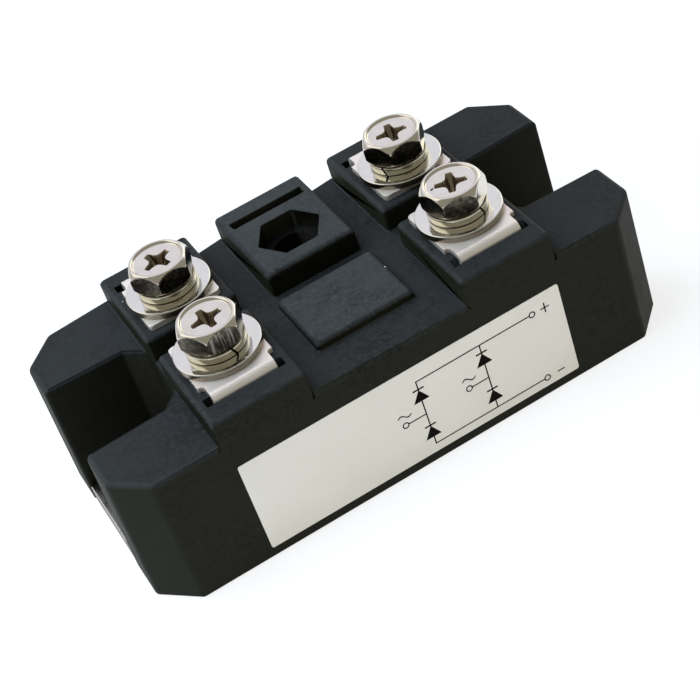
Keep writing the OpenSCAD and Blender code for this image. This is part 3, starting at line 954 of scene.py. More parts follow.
@dataclass
class TerminalTab:
    """One terminal tab: flat under the screw, bent down through its slot to a foot."""

    corner: Corner
    width: float = 10.8
    leg_width: float = 9.2
    thickness: float = 0.85
    bend_radius: float = 0.4
    foot_length: float = 3.0
    hole: float = 5.3
    end_radius: float = 0.7
    notch_offset: float = 1.7
    notch_radius: float = 0.5
    edge: float = 0.13
    bend_steps: int = 12
    hole_steps: int = 48

    def build(self, material: Material) -> Object:
        """Builds the tab.

        Args:
            material: The tab's finish.

        Returns:
            The piece.
        """
        side_x, side_y = self.corner.value
        node = f"tab_{self.corner.tag}"
        low, high = box_mm(node)
        screw_low, screw_high = box_mm(f"screw_{self.corner.tag}")
        centre_x = abs(low.x + high.x) / 2
        screw_y = abs(screw_low.y + screw_high.y) / 2
        near, far = sorted((abs(low.y), abs(high.y)))
        bend_y = far - self.thickness - self.bend_radius
        base = high.z - self.thickness
        bm = bmesh.new()
        self._flat(bm, near, bend_y, base, screw_y)
        self._leg(bm, bend_y, base - self.bend_radius, low.z)
        bmesh.ops.translate(bm, vec=(centre_x * MM, 0, 0), verts=bm.verts)
        bmesh.ops.scale(bm, vec=(side_x, side_y, 1), verts=bm.verts)
        obj = finished(f"bent_{node}", bm)
        soften(obj, self.edge, 3)
        baked(obj)
        return enlist(obj, Slot.TAB, material, node)

    def _flat(
        self, bm: BMesh, near: float, bend_y: float, base: float, screw_y: float
    ) -> None:
        """Makes the flat part with its notches, rounded end corners and screw hole.

        Args:
            bm: The bmesh that gets the flat.
            near: The y of its inner end, in millimetres as all below.
            bend_y: The y where the bend starts.
            base: Height of its lower face.
            screw_y: The y of the screw's axis.
        """
        half, leg, notch_y = self.width / 2, self.leg_width / 2, bend_y - self.notch_offset
        side = ((half, near), (half, notch_y), (leg, notch_y), (leg, bend_y))
        right = [(x, y, base) for x, y in side]
        left = [(-x, y, z) for x, y, z in reversed(right)]
        verts = add_outline(bm, right + left)
        close_run(bm, verts)
        ends, notches = (verts[0], verts[-1]), (verts[2], verts[-3])
        round_off(bm, ends, self.end_radius)
        round_off(bm, notches, self.notch_radius)
        place = Matrix.Translation(Vector((0, screw_y, base)) * MM)
        hole = self.hole / 2 * MM
        bmesh.ops.create_circle(bm, segments=self.hole_steps, radius=hole, matrix=place)
        bmesh.ops.triangle_fill(bm, edges=bm.edges, use_beauty=True)
        grown = bmesh.ops.extrude_face_region(bm, geom=list(bm.faces), use_keep_orig=True)["geom"]
        lifted = only(Vert, grown)
        bmesh.ops.translate(bm, vec=(0, 0, self.thickness * MM), verts=lifted)
        bmesh.ops.recalc_face_normals(bm, faces=bm.faces)

    def _leg(self, bm: BMesh, bend_y: float, bend_z: float, foot_z: float) -> None:
        """Spins and extrudes the end face into the bend, the leg and the foot.

        Args:
            bm: The bmesh that holds the flat part.
            bend_y: The y of both bends' centres, in millimetres as all below.
            bend_z: Height of the upper bend's centre.
            foot_z: Height of the foot's lower face.
        """
        limit = (bend_y - 0.01) * MM
        end = [
            face
            for face in bm.faces
            if face.normal.y > 0.99 and face.calc_center_median().y > limit
        ]
        loop = [edge for face in end for edge in face.edges]
        bmesh.ops.delete(bm, geom=end, context="FACES_ONLY")
        foot_bend_z = foot_z + self.thickness + self.bend_radius
        loop = self._bend(bm, loop, bend_y, bend_z)
        loop = pulled(bm, loop, (0, 0, foot_bend_z - bend_z))
        loop = self._bend(bm, loop, bend_y, foot_bend_z)
        loop = pulled(bm, loop, (0, -self.foot_length, 0))
        bmesh.ops.contextual_create(bm, geom=loop)

    def _bend(self, bm: BMesh, loop: list[Edge], y: float, z: float) -> list[Edge]:
        """Spins a loop a quarter turn about a bend's centre and returns the last loop."""
        made = bmesh.ops.spin(
            bm, geom=loop + corners(loop), cent=Vector((0, y, z)) * MM, axis=(1, 0, 0), dvec=ORIGIN,
            angle=-math.pi / 2, steps=self.bend_steps,
        )["geom_last"]
        return only(Edge, made)


@dataclass
class TerminalScrew:
    """A hexagon head screw: turned barrel edges, a raised rim, a sunk disc and a cross."""

    corner: Corner
    hexagon_turn: float
    cross_turn: float
    flats: float = 8.0
    blend: float = 0.1
    steps: int = 192
    rim: Sequence[tuple[float, float]] = (
        (3.22, 3.03), (3.29, 3.04), (3.35, 3.065), (3.40, 3.11), (3.44, 3.18), (3.48, 3.26),
        (3.53, 3.33), (3.61, 3.38), (3.71, 3.40), (3.80, 3.39), (3.89, 3.35), (3.97, 3.285),
    )
    barrel: Sequence[tuple[float, float]] = (
        (4.08, 3.16), (4.19, 3.02), (4.30, 2.87), (4.41, 2.71), (4.51, 2.54), (4.60, 2.36),
        (4.67, 2.17), (4.71, 1.95), (4.72, 1.7), (4.72, 1.35), (4.70, 1.08), (4.66, 0.86),
        (4.58, 0.66), (4.47, 0.48), (4.33, 0.32), (4.17, 0.18), (4.0, 0.07), (3.86, 0.0),
    )
    cross: Sequence[tuple[float, float]] = (
        (2.14, -0.48), (2.24, -0.36), (2.24, 0.36), (2.14, 0.48), (1.5, 0.54), (1.12, 0.62),
        (0.9, 0.74), (0.8, 0.8), (0.74, 0.9), (0.62, 1.12), (0.54, 1.5), (0.48, 2.14),
    )
    cross_levels: Sequence[tuple[float, float]] = (
        (0.12, 0.93), (0.7, 0.8), (1.35, 0.55), (1.75, 0.32),
    )
    shank_radius: float = 2.5
    tip: float = 0.5
    turned_reach: float = 3.5
    wear_and_shade_reach: float = 0.07
    wear_and_shade_start: float = 0.3
    cross_point: float = 0.2
    worn_side: float = -100.0
    unshaded_side: float | None = None
    flat_shade_level: float = 0.5

    def build(self, material: Material) -> Object:
        """Builds the screw.

        Args:
            material: The screw's finish.

        Returns:
            The piece.
        """
        node = f"screw_{self.corner.tag}"
        low, high = box_mm(node)
        seat = box_mm(f"spring_washer_{self.corner.tag}")[1].z
        axis = Vector(((low.x + high.x) / 2, (low.y + high.y) / 2, 0))
        length = seat - low.z
        bm = bmesh.new()
        painted_shade = bm.verts.layers.float.new("painted_shade")
        wear_and_shade = bm.verts.layers.float.new("wear_and_shade")
        body, neck = self.shank_radius, self.shank_radius + 0.1
        tip = ((body, self.tip - length), (body - self.tip, -length), (0.0, -length))
        shank = ((neck, 0.0), (body, -0.1), *tip)
        add_outline(bm, [(r, 0, z) for r, z in (*self.rim, *self.barrel, *shank)])
        spun_ring(bm, list(bm.edges), Vector(ORIGIN), UP, self.steps)
        bmesh.ops.remove_doubles(bm, verts=bm.verts, dist=MERGE)
        self._pull_to_hexagon(bm, wear_and_shade)
        self._sink_cross(bm)
        # Painted shade inside the cross recess and along the underside of the head, where it meets
        # the spring washer.
        for vert in bm.verts:
            x, y, z = vert.co / MM
            in_cross = math.hypot(x, y) < self.shank_radius and 0.5 < z < 3.0
            vert[painted_shade] = float(in_cross or -0.01 < z < 0.1)
        bmesh.ops.translate(bm, vec=Vector((axis.x, axis.y, seat)) * MM, verts=bm.verts)
        obj = finished(f"cross_{node}", bm, 30.0)
        return enlist(obj, Slot.SCREW, material, node)

    def _pull_to_hexagon(self, bm: BMesh, wear_and_shade: Layer) -> None:
        """Pulls the turned head in to its hexagon and marks each flat with its painted dark
        reflection and, on one flat, its wear streaks.
        """
        turn = math.radians(self.hexagon_turn)
        for vert in bm.verts:
            x, y, z = vert.co / MM
            radius = math.hypot(x, y)
            if radius < self.turned_reach or z < -0.01:
                continue
            phase = (math.atan2(y, x) - turn) % (math.pi / 3) - math.pi / 6
            side = self.flats / 2 / math.cos(phase)
            near = max(self.blend - abs(radius - side), 0.0) / self.blend
            inner = min(radius, side) - near * near * self.blend / 4
            vert.co.x *= inner / radius
            vert.co.y *= inner / radius
            way = math.degrees(math.atan2(y, x))
            # Each flat gets painted dark reflection except one left bright, as its reflection is;
            # one flat also gets wear streaks.
            most = 1.0 if self._near(way, self.worn_side) else self.flat_shade_level
            if self.unshaded_side is not None and self._near(way, self.unshaded_side):
                most = 0.0
            depth = (radius - side) / self.wear_and_shade_reach + self.wear_and_shade_start
            vert[wear_and_shade] = most * min(max(depth, 0.0), 1.0)

    @staticmethod
    def _near(way: float, side: float) -> bool:
        """Tells whether a direction in degrees lies on the flat that faces side."""
        return abs((way - side + 180) % 360 - 180) < 30

    def _sink_cross(self, bm: BMesh) -> None:
        """Cuts the cross recess and fills the disc round it."""
        rim_edges = [edge for edge in bm.edges if edge.is_boundary]
        floor = self.rim[0][1]
        verts = add_outline(bm, [(x, y, floor) for x, y in self.cross])
        edges = [edge for edge in bm.edges if edge.is_wire]
        for quarter in (1, 2, 3):
            made = bmesh.ops.duplicate(bm, geom=verts + edges)["geom"]
            turn_z(bm, quarter * math.pi / 2, only(Vert, made))
        loose = corners(edge for edge in bm.edges if edge.is_wire)
        bmesh.ops.remove_doubles(bm, verts=loose, dist=0.03 * MM)
        outline = [edge for edge in bm.edges if edge.is_wire]
        turn_z(bm, math.radians(self.cross_turn), corners(outline))
        bmesh.ops.triangle_fill(bm, edges=rim_edges + outline, use_beauty=True)
        depth, size = 0.0, 1.0
        loop = outline
        for next_depth, next_size in self.cross_levels:
            loop = pulled(bm, loop, (0, 0, depth - next_depth))
            ratio = next_size / size
            bmesh.ops.scale(bm, vec=(ratio, ratio, 1), verts=corners(loop))
            depth, size = next_depth, next_size
        cap = bmesh.ops.contextual_create(bm, geom=loop)["faces"]
        bmesh.ops.poke(bm, faces=cap, offset=-self.cross_point * MM)


@dataclass
class FlatWasher:
    """A stamped flat washer with a rounded upper edge and a sharper lower one."""

    corner: Corner
    upper_round: float = 0.16
    lower_round: float = 0.08
    bore: float = 5.3
    steps: int = 144

    def build(self, material: Material) -> Object:
        """Builds the washer.

        Args:
            material: The washer's finish.

        Returns:
            The piece.
        """
        node = f"flat_washer_{self.corner.tag}"
        low, high = box_mm(node)
        centre = (low + high) / 2
        outer, inner = (high.x - low.x) / 2, self.bore / 2
        bm = bmesh.new()
        profile = ((inner, low.z), (outer, low.z), (outer, high.z), (inner, high.z))
        verts = add_outline(bm, [(x + centre.x, centre.y, z) for x, z in profile])
        close_run(bm, verts)
        round_off(bm, verts[2:], self.upper_round, 6)
        round_off(bm, verts[:2], self.lower_round, 6)
        spun_ring(bm, list(bm.edges), centre * MM, UP, self.steps)
        painted_shade = bm.verts.layers.float.new("painted_shade")
        # Painted shade on the outer wall.
        for vert in bm.verts:
            reach = math.hypot(vert.co.x / MM - centre.x, vert.co.y / MM - centre.y)
            vert[painted_shade] = float(reach > outer - 0.02)
        return enlist(finished(f"stamped_{node}", bm), Slot.WASHER, material, node)


@dataclass
class SpringWasher:
    """A split spring washer with a slanting split and rounded edges."""

    corner: Corner
    split_turn: float
    diameter: float = 8.4
    bore: float = 5.15
    split: float = 0.34
    slant: float = 25.0
    edge: float = 0.3
    contact_shade_reach: float = 0.08
    steps: int = 120

    def build(self, material: Material) -> Object:
        """Builds the washer.

        Args:
            material: The washer's finish.

        Returns:
            The piece.
        """
        node = f"spring_washer_{self.corner.tag}"
        screw_low, screw_high = box_mm(f"screw_{self.corner.tag}")
        low, high = box_mm(node)
        centre = (screw_low + screw_high) / 2
        outer, inner = self.diameter / 2, self.bore / 2
        bm = bmesh.new()
        profile = ((inner, low.z), (outer, low.z), (outer, high.z), (inner, high.z))
        verts = add_outline(bm, [(x, 0, z) for x, z in profile])
        close_run(bm, verts)
        round_off(bm, verts, self.edge)
        loop = list(bm.edges)
        half_gap = self.split / (2 * outer)
        turn_z(bm, half_gap, bm.verts)
        bmesh.ops.contextual_create(bm, geom=loop)
        made = bmesh.ops.spin(
            bm, geom=loop + list(bm.verts), cent=ORIGIN, axis=UP, dvec=ORIGIN,
            angle=math.tau - 2 * half_gap, steps=self.steps,
        )["geom_last"]
        bmesh.ops.contextual_create(bm, geom=only(Edge, made))
        painted_shade = bm.verts.layers.float.new("painted_shade")
        # Painted contact shadow: the faces against the head and the flat washer, and a thin band
        # beside them, turn dark.
        for vert in bm.verts:
            depth = min(vert.co.z / MM - low.z, high.z - vert.co.z / MM)
            vert[painted_shade] = float(depth < self.contact_shade_reach)
        self._slant_ends(bm, (low.z + high.z) / 2, outer)
        turn_z(bm, math.radians(self.split_turn), bm.verts)
        bmesh.ops.translate(bm, vec=(centre.x * MM, centre.y * MM, 0), verts=bm.verts)
        return enlist(finished(f"split_{node}", bm), Slot.SPRING, material, node)

    def _slant_ends(self, bm: BMesh, middle: float, radius: float) -> None:
        """Twists the ring with its height, which slants its two ends."""
        lean = math.tan(math.radians(self.slant)) / radius
        for vert in bm.verts:
            vert.co = Matrix.Rotation(-(vert.co.z / MM - middle) * lean, 3, "Z") @ vert.co


@dataclass
class PrintedLabel:
    """The label on the front wall, with the generic wiring diagram printed on it."""

    half_width: float = 20.0
    draft: float = 1.0
    film: float = 0.084
    ink: float = 0.012
    corner_radius: float = 0.35
    ink_root: float = 0.005
    line: float = 0.19
    ring_outer: float = 0.52
    ring_inner: float = 0.33
    ring_steps: int = 36
    diode_half: float = 1.2
    diode_bar: float = 0.85
    bar_gap: float = 0.12
    bar_half: float = 0.13
    sign_half: float = 1.03
    sign_stroke: float = 0.11
    sign_swing: float = 0.3
    sign_cuts: int = 23

    def build(self, film: Material, ink: Material) -> list[Object]:
        """Builds the label and its print.

        Args:
            film: The film's finish.
            ink: The print's finish.

        Returns:
            The two pieces.
        """
        low, high = box_mm("label")
        rise = low.z / math.cos(math.radians(self.draft))
        height = (high.z - low.z) / math.cos(math.radians(self.draft))
        bm = bmesh.new()
        add_box(bm, (low.x, -self.film, rise), (high.x, 0, rise + height))
        bm.normal_update()
        runs = {edge: edge.verts[0].co - edge.verts[1].co for edge in bm.edges}
        posts = [edge for edge, run in runs.items() if abs(run.normalized().y) > 0.9]
        round_off(bm, posts, self.corner_radius, affect="EDGES")
        self._lay(bm)
        label = enlist(finished("label_film_sheet", bm), Slot.LABEL, film, "label")
        bm = bmesh.new()
        self._draw(bm)
        self._lay(bm)
        printed = enlist(finished("label_wiring_print", bm), Slot.LABEL, ink)
        return [label, printed]

    def _lay(self, bm: BMesh) -> None:
        """Leans the flat drawing on to the drafted front wall."""
        lean = Matrix.Rotation(-math.radians(self.draft), 3, "X")
        bmesh.ops.rotate(bm, cent=ORIGIN, matrix=lean, verts=bm.verts)
        bmesh.ops.translate(bm, vec=(0, -self.half_width * MM, 0), verts=bm.verts)

    def _depths(self) -> tuple[float, float]:
        """Returns the y of the print's face and of its back, a little inside the film."""
        return -self.film - self.ink, -self.film + self.ink_root

    def _bar(self, bm: BMesh, x0: float, x1: float, z0: float, z1: float) -> None:
        """Adds one printed bar between two corners on the label."""
        front, back = self._depths()
        add_box(bm, (x0, front, z0), (x1, back, z1))

    def _wire(self, bm: BMesh, start: tuple[float, float], end: tuple[float, float]) -> None:
        """Adds one straight wire along x or z."""
        half = self.line / 2
        (x0, x1), (z0, z1) = sorted((start[0], end[0])), sorted((start[1], end[1]))
        self._bar(bm, x0 - half, x1 + half, z0 - half, z1 + half)

    def _terminal(self, bm: BMesh, x: float, z: float) -> None:
        """Adds one open terminal ring."""
        part = bmesh.new()
        front, back = self._depths()
        inner, outer = self.ring_inner, self.ring_outer
        profile = ((inner, front), (outer, front), (outer, back), (inner, back))
        verts = add_outline(part, [(x + reach, y, z) for reach, y in profile])
        centre = Vector((x, 0, z)) * MM
        spun_ring(part, close_run(part, verts), centre, (0, 1, 0), self.ring_steps)
        self._merge(bm, part)

    def _diode(self, bm: BMesh, x: float, base: float, apex: float) -> None:
        """Adds one diode: a filled triangle that points up and the bar at its tip."""
        part = bmesh.new()
        front, back = self._depths()
        points = ((x - self.diode_half, base), (x + self.diode_half, base), (x, apex))
        verts = [part.verts.new(Vector((at, back, z)) * MM) for at, z in points]
        face = part.faces.new(verts)
        grown = bmesh.ops.extrude_face_region(part, geom=[face], use_keep_orig=True)["geom"]
        bmesh.ops.translate(part, vec=(0, (front - back) * MM, 0), verts=only(Vert, grown))
        self._merge(bm, part)
        bar = apex + self.bar_gap
        low, high = bar - self.bar_half, bar + self.bar_half
        self._bar(bm, x - self.diode_bar, x + self.diode_bar, low, high)

    def _tilde(self, bm: BMesh, x: float, z: float) -> None:
        """Adds one alternating current sign: a wavy stroke."""
        part = bmesh.new()
        half, stroke = self.sign_half, self.sign_stroke
        self._bar(part, -half, half, -stroke, stroke)
        cuts = [edge for edge in part.edges if abs(edge.verts[0].co.x - edge.verts[1].co.x) > MM]
        bmesh.ops.subdivide_edges(part, edges=cuts, cuts=self.sign_cuts, use_grid_fill=True)
        for vert in part.verts:
            share = vert.co.x / (half * MM)
            vert.co.z -= self.sign_swing * MM * math.sin(math.pi * share)
        bmesh.ops.translate(part, vec=Vector((x, 0, z)) * MM, verts=part.verts)
        self._merge(bm, part)

    @staticmethod
    def _merge(bm: BMesh, part: BMesh) -> None:
        """Moves a finished small mesh into the drawing."""
        bmesh.ops.recalc_face_normals(part, faces=part.faces)
        mesh = bpy.data.meshes.new("print_part")
        part.to_mesh(mesh)
        part.free()
        bm.from_mesh(mesh)
        bpy.data.meshes.remove(mesh)

    def _draw(self, bm: BMesh) -> None:
        """Draws the bridge: two legs of two diodes between the output wires."""
        left, right, top, bottom, middle = 1.55, 11.35, 14.2, 3.05, 8.5
        upper_diode, lower_diode = (10.85, 12.75), (4.3, 6.25)
        plus_ring, minus_ring, sign_z = 19.65, 19.4, 9.95
        for x in (left, right):
            self._wire(bm, (x, bottom), (x, top))
            self._diode(bm, x, *upper_diode)
            self._diode(bm, x, *lower_diode)
        self._wire(bm, (left, top), (plus_ring - self.ring_outer, top))
        self._wire(bm, (left, bottom), (minus_ring - self.ring_outer, bottom))
        self._terminal(bm, plus_ring, top)
        self._terminal(bm, minus_ring, bottom)
        for ring_x, leg_x, sign_x in ((-1.6, left, -1.4), (8.3, right, 8.6)):
            self._terminal(bm, ring_x, middle)
            self._wire(bm, (ring_x + self.ring_outer, middle), (leg_x, middle))
            self._tilde(bm, sign_x, sign_z)
        plus = ((20.98, 22.33, 14.11, 14.31), (21.55, 21.75, 13.4, 15.0))
        minus = (21.03, 22.18, 3.0, 3.2)
        for bar in (*plus, minus):
            self._bar(bm, *bar)


@dataclass
class HiddenParts:
    """What lies inside the case: CAD shapes, each with a finish of its own."""

    finishes: dict[tuple[str, ...], GrainFinish | PlatedFinish]

    def dress(self, effects: Effects) -> None:
        """Gives each CAD node the finish whose key lists how the node's name starts.

        Args:
            effects: The shared node groups.
        """
        built = {starts: finish.material(effects) for starts, finish in self.finishes.items()}
        for name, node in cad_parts.items():
            for starts, material in built.items():
                if name.startswith(starts):
                    node.data.materials.clear()
                    node.data.materials.append(material)
                    log.info("%s keeps its CAD shape, finish %s", name, material.name)


# ---------------------------------------------------------------------- studio


@dataclass(frozen=True)
class Softbox:
    """A square soft lamp: where it hangs and what it faces, in millimetres."""

    name: str
    place: Sequence[float]
    target: Sequence[float]
    size: float
    watts: float
    colour: Colour

    def build(self) -> None:
        """Adds the lamp, which neither the camera nor a mirror shows."""
        data = bpy.data.lights.new(self.name, "AREA")
        data.shape = "SQUARE"
        data.size = self.size * MM
        data.energy = self.watts
        data.color = self.colour
        lamp = bpy.data.objects.new(self.name, data)
        lamp.visible_camera = False
        lamp.visible_glossy = False
        bpy.context.scene.collection.objects.link(lamp)
        away = Vector(self.place) - Vector(self.target)
        turn = away.to_track_quat("Z", "Y").to_matrix().to_4x4()
        lamp.matrix_world = Matrix.Translation(Vector(self.place) * MM) @ turn


@dataclass
class Studio:
    """The pale floor, the soft lamps, the world and the camera."""

    floor_half: float = 3000.0
    floor_glow: float = 0.8
    world_light: float = 0.36
    eye: Sequence[float] = (-51.42, -189.93, 168.67)
    look: Sequence[float] = (0.2028, 0.7469, -0.6333)
    up: Sequence[float] = (0.4852, 0.4851, 0.7275)
    lens: float = 93.77
    sensor: float = 36.0
    lamps: Sequence[Softbox] = (
        Softbox("key_softbox", (-120, 40, 255), (0, 0, 10), 270, 2.15, (0.68, 0.84, 1.0)),
        Softbox("front_fill", (480, -730, 245), (0, 0, 12), 460, 2.05, (1.0, 0.95, 0.58)),
    )
    windows: Sequence[tuple[Sequence[float], Colour]] = (
        ((-0.66, 0.40, 0.62), (1.3, 1.27, 1.12)),
        ((0.79, 0.55, 0.25), (1.6, 1.57, 1.42)),
    )

    def build(self) -> None:
        """Builds the whole studio."""
        self._floor()
        self._world()
        for lamp in self.lamps:
            lamp.build()
        self._camera()
        bpy.context.scene.view_settings.view_transform = "Standard"

    def _floor(self) -> None:
        """Makes the pale floor, which keeps the module's soft shadow."""
        bm = bmesh.new()
        bmesh.ops.create_grid(bm, x_segments=1, y_segments=1, size=self.floor_half * MM)
        mesh = bpy.data.meshes.new("studio_floor")
        bm.to_mesh(mesh)
        bm.free()
        floor = bpy.data.objects.new("studio_floor", mesh)
        bpy.context.scene.collection.objects.link(floor)
        material = bpy.data.materials.new("pale_floor")
        material.use_nodes = True
        board = NodeBoard(material.node_tree)
        material.node_tree.nodes.clear()
        path = board.add("ShaderNodeLightPath").outputs
        seen = board.maths("MAXIMUM", path["Is Camera Ray"], path["Is Glossy Ray"])
        seen = board.maths("MAXIMUM", seen, path["Is Transmission Ray"])
        plain = board.add("ShaderNodeBsdfDiffuse", {"Color": (0.86, 0.86, 0.85, 1.0)}).outputs[0]
        white = board.add("ShaderNodeEmission", {"Color": WHITE, "Strength": 1.0}).outputs[0]
        share = board.times(seen, self.floor_glow)
        mixed = board.add("ShaderNodeMixShader", {0: share, 1: plain, 2: white})
        board.add("ShaderNodeOutputMaterial", {"Surface": mixed.outputs[0]})
        mesh.materials.append(material)

    def _world(self) -> None:
        """Makes the world: white to the camera, a studio sky in metal, softer as a light."""
        world = bpy.data.worlds.new("studio_world")
        bpy.context.scene.world = world
        world.use_nodes = True
        world.node_tree.nodes.clear()
        board = NodeBoard(world.node_tree)
        path = board.add("ShaderNodeLightPath").outputs
        around = board.add("ShaderNodeTexCoord").outputs["Generated"]
        sweep = board.ranged(self._facing(board, around, (0.15, 0.62, 0.77)), -0.45, 0.8)
        sheen = board.blend(sweep, (0.46, 0.44, 0.37), (1.0, 1.0, 1.0))
        shown = ((sheen, self.world_light), (self._sky(board, around), 1.0), (WHITE, 1.0))
        light, sky, white = (
            board.add("ShaderNodeBackground", {"Color": colour, "Strength": strength}).outputs[0]
            for colour, strength in shown
        )
        mirrored = board.maths("MAXIMUM", path["Is Glossy Ray"], path["Is Transmission Ray"])
        mixed = board.add("ShaderNodeMixShader", {0: mirrored, 1: light, 2: sky}).outputs[0]
        sockets = {0: path["Is Camera Ray"], 1: mixed, 2: white}
        mixed = board.add("ShaderNodeMixShader", sockets).outputs[0]
        board.add("ShaderNodeOutputWorld", {"Surface": mixed})

    @staticmethod
    def _facing(board: NodeBoard, around: Socket, towards: Sequence[float]) -> Socket:
        """Returns how nearly the direction around faces another, as a dot product."""
        sockets = {0: around, 1: Vector(towards).normalized()}
        product = board.add("ShaderNodeVectorMath", sockets, operation="DOT_PRODUCT")
        return product.outputs["Value"]

    def _sky(self, board: NodeBoard, around: Socket) -> Socket:
        """Draws the room that metal shows: a pale sky, a dimmer front and two windows."""
        parts = board.add("ShaderNodeSeparateXYZ", {0: around}).outputs
        horizon, zenith, front = (0.46, 0.44, 0.38), (0.90, 0.90, 1.0), (0.31, 0.295, 0.24)
        tone = board.blend(board.ranged(parts[2], 0.02, 0.42), horizon, zenith)
        tone = board.blend(board.ranged(parts[1], 0.35, -0.1), tone, front)
        for towards, colour in self.windows:
            inside = board.ranged(self._facing(board, around, towards), 0.88, 0.94)
            tone = board.blend(inside, tone, colour)
        return tone

    def _camera(self) -> None:
        """Places the camera from its eye, look and up vectors."""
        data = bpy.data.cameras.new("studio_camera")
        data.lens = self.lens
        data.sensor_width = self.sensor
        data.clip_start = 0.01
        data.clip_end = 20.0
        camera = bpy.data.objects.new("studio_camera", data)
        bpy.context.scene.collection.objects.link(camera)
        look = Vector(self.look).normalized()
        right = look.cross(Vector(self.up)).normalized()
        above = right.cross(look)
        turn = Matrix((right, above, -look)).transposed().to_4x4()
        camera.matrix_world = Matrix.Translation(Vector(self.eye) * MM) @ turn
        bpy.context.scene.camera = camera


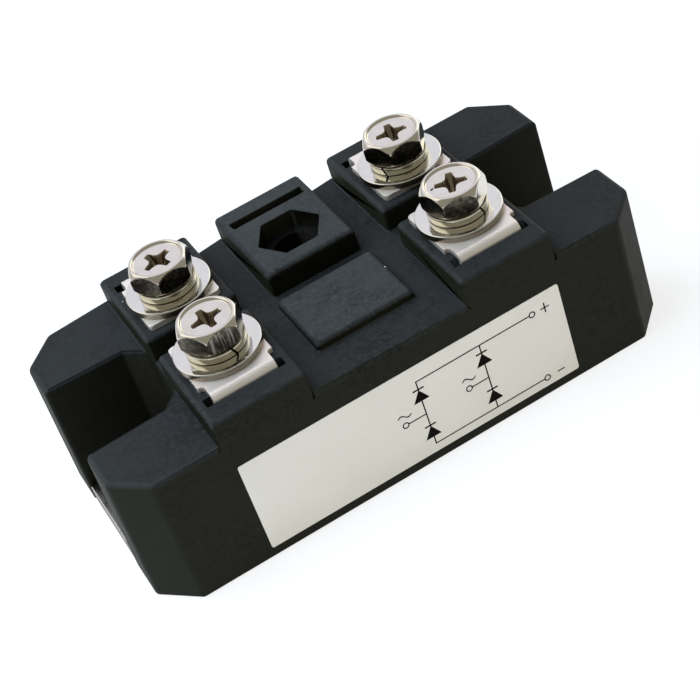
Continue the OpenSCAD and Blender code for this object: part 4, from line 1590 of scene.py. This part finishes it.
@dataclass
class Rectifier:
    """The whole module: finishes first, then each sub-assembly in order."""

    effects: Effects = field(default_factory=Effects)
    # Per corner: hexagon turn, cross turn, split turn, the streaked flat, and the flat left without
    # painted dark reflection.
    turns: dict[Corner, tuple[float, float, float, float, float | None]] = field(
        default_factory=lambda: {
            Corner.FRONT_LEFT: (4.0, 6.0, 284.0, 274.0, None),
            Corner.FRONT_RIGHT: (44.0, 67.0, 295.0, 134.0, 314.0),
            Corner.BACK_LEFT: (6.0, 24.0, 20.0, 96.0, None),
            Corner.BACK_RIGHT: (58.0, 79.0, 215.0, 28.0, 328.0),
        }
    )
    pits: dict[Corner, Sequence[tuple[float, float, float]]] = field(
        default_factory=lambda: {
            Corner.FRONT_RIGHT: (
                (15.72, -7.68, 30.93), (15.93, -7.55, 30.93), (16.45, -7.35, 30.93),
            ),
        }
    )

    def build(self) -> None:
        """Builds every piece."""
        moulding = GrainFinish(
            "moulding_black", light=(0.0160, 0.0163, 0.0160), dark=(0.0048, 0.0050, 0.0050),
            speck=(0.2, 0.21, 0.22), roughness=(0.52, 0.66), grain_scale=3800.0, grain_depth=0.04,
            speck_share=0.004, specular=0.1, mottle=1.0, shaded=True,
        ).material(self.effects)
        MouldedCase().build(moulding)
        plate = PlatedFinish(
            "base_ground", light=(0.78, 0.77, 0.74), dark=(0.66, 0.65, 0.62),
            roughness=(0.22, 0.34), painted_shade=(0.20, 0.20, 0.16),
        ).material(self.effects)
        BasePlate().build(plate)
        self._terminals()
        film = GrainFinish(
            "label_satin_film", light=(0.700, 0.630, 0.570), dark=(0.657, 0.588, 0.533),
            speck=(0.5, 0.5, 0.48), roughness=(0.3, 0.42), grain_scale=5000.0, grain_depth=0.004,
            speck_share=0.004,
        ).material(self.effects)
        ink = GrainFinish(
            "label_print_ink", light=(0.006, 0.0045, 0.003), dark=(0.003, 0.0022, 0.0015),
            speck=(0.02, 0.018, 0.015), roughness=(0.5, 0.6), grain_scale=6000.0,
            grain_depth=0.002, specular=0.03,
        ).material(self.effects)
        PrintedLabel().build(film, ink)
        self._inside()

    def _terminals(self) -> None:
        """Builds the tab, washers and screw of each corner."""
        tab = PlatedFinish(
            "tab_satin_nickel", light=(0.80, 0.71, 0.64), dark=(0.74, 0.655, 0.59),
            roughness=(0.32, 0.42), scratch_scale=1500.0, scratch_depth=0.002, metallic=0.75,
        ).material(self.effects)
        spring = PlatedFinish(
            "spring_nickel", light=(0.70, 0.66, 0.56), dark=(0.60, 0.56, 0.47),
            roughness=(0.08, 0.16), painted_shade=(0.07, 0.06, 0.045),
        ).material(self.effects)
        for corner in Corner:
            low, high = box_mm(f"flat_washer_{corner.tag}")
            axis = ((low.x + high.x) / 2, (low.y + high.y) / 2)
            washer = PlatedFinish(
                f"washer_nickel_{corner.tag}", light=(0.77, 0.76, 0.71), dark=(0.72, 0.71, 0.66),
                roughness=(0.06, 0.12), scratch_scale=900.0, scratch_depth=0.0012,
                wave_depth=0.003, painted_shade=(0.30, 0.27, 0.22), axis=axis,
            ).material(self.effects)
            screw = PlatedFinish(
                f"screw_nickel_{corner.tag}", light=(0.77, 0.73, 0.67), dark=(0.71, 0.67, 0.60),
                roughness=(0.06, 0.13), scratch_scale=700.0, scratch_depth=0.0012,
                wave_depth=0.003, painted_shade=(0.29, 0.245, 0.19), axis=axis,
                pits=self.pits.get(corner, ()),
            ).material(self.effects)
            hexagon, cross, split, wear_and_shade, unshaded = self.turns[corner]
            TerminalTab(corner).build(tab)
            FlatWasher(corner).build(washer)
            SpringWasher(corner, split).build(spring)
            TerminalScrew(corner, hexagon, cross, worn_side=wear_and_shade, unshaded_side=unshaded).build(screw)

    def _inside(self) -> None:
        """Dresses the parts that the case hides."""
        nut = PlatedFinish(
            "nut_nickel", light=(0.70, 0.67, 0.58), dark=(0.6, 0.56, 0.48), roughness=(0.2, 0.3)
        )
        copper = PlatedFinish(
            "copper_bare", light=(0.85, 0.50, 0.34), dark=(0.62, 0.33, 0.22), roughness=(0.3, 0.45)
        )
        alumina = GrainFinish(
            "alumina_white", light=(0.86, 0.86, 0.83), dark=(0.78, 0.78, 0.75),
            speck=(0.6, 0.6, 0.58), roughness=(0.5, 0.6), grain_scale=9000.0, grain_depth=0.006,
        )
        silicon = GrainFinish(
            "silicon_grey", light=(0.20, 0.21, 0.25), dark=(0.13, 0.14, 0.17),
            speck=(0.3, 0.3, 0.33), roughness=(0.2, 0.3), grain_scale=4000.0, grain_depth=0.002,
        )
        potting = GrainFinish(
            "potting_gel", light=(0.10, 0.095, 0.085), dark=(0.06, 0.055, 0.05),
            speck=(0.2, 0.19, 0.17), roughness=(0.35, 0.5), grain_scale=3000.0, grain_depth=0.01,
        )
        HiddenParts(
            {
                ("nut_",): nut,
                ("copper_pad_", "jumper_"): copper,
                ("ceramic_insulator",): alumina,
                ("diode_chip_",): silicon,
                ("potting_compound",): potting,
            }
        ).dress(self.effects)


def main() -> None:
    """Builds the module and the studio."""
    logging.basicConfig(level=logging.INFO, format="%(name)s: %(message)s")
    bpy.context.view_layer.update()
    Rectifier().build()
    Studio().build()
    bpy.context.view_layer.update()


if __name__ == "__main__":
    main()
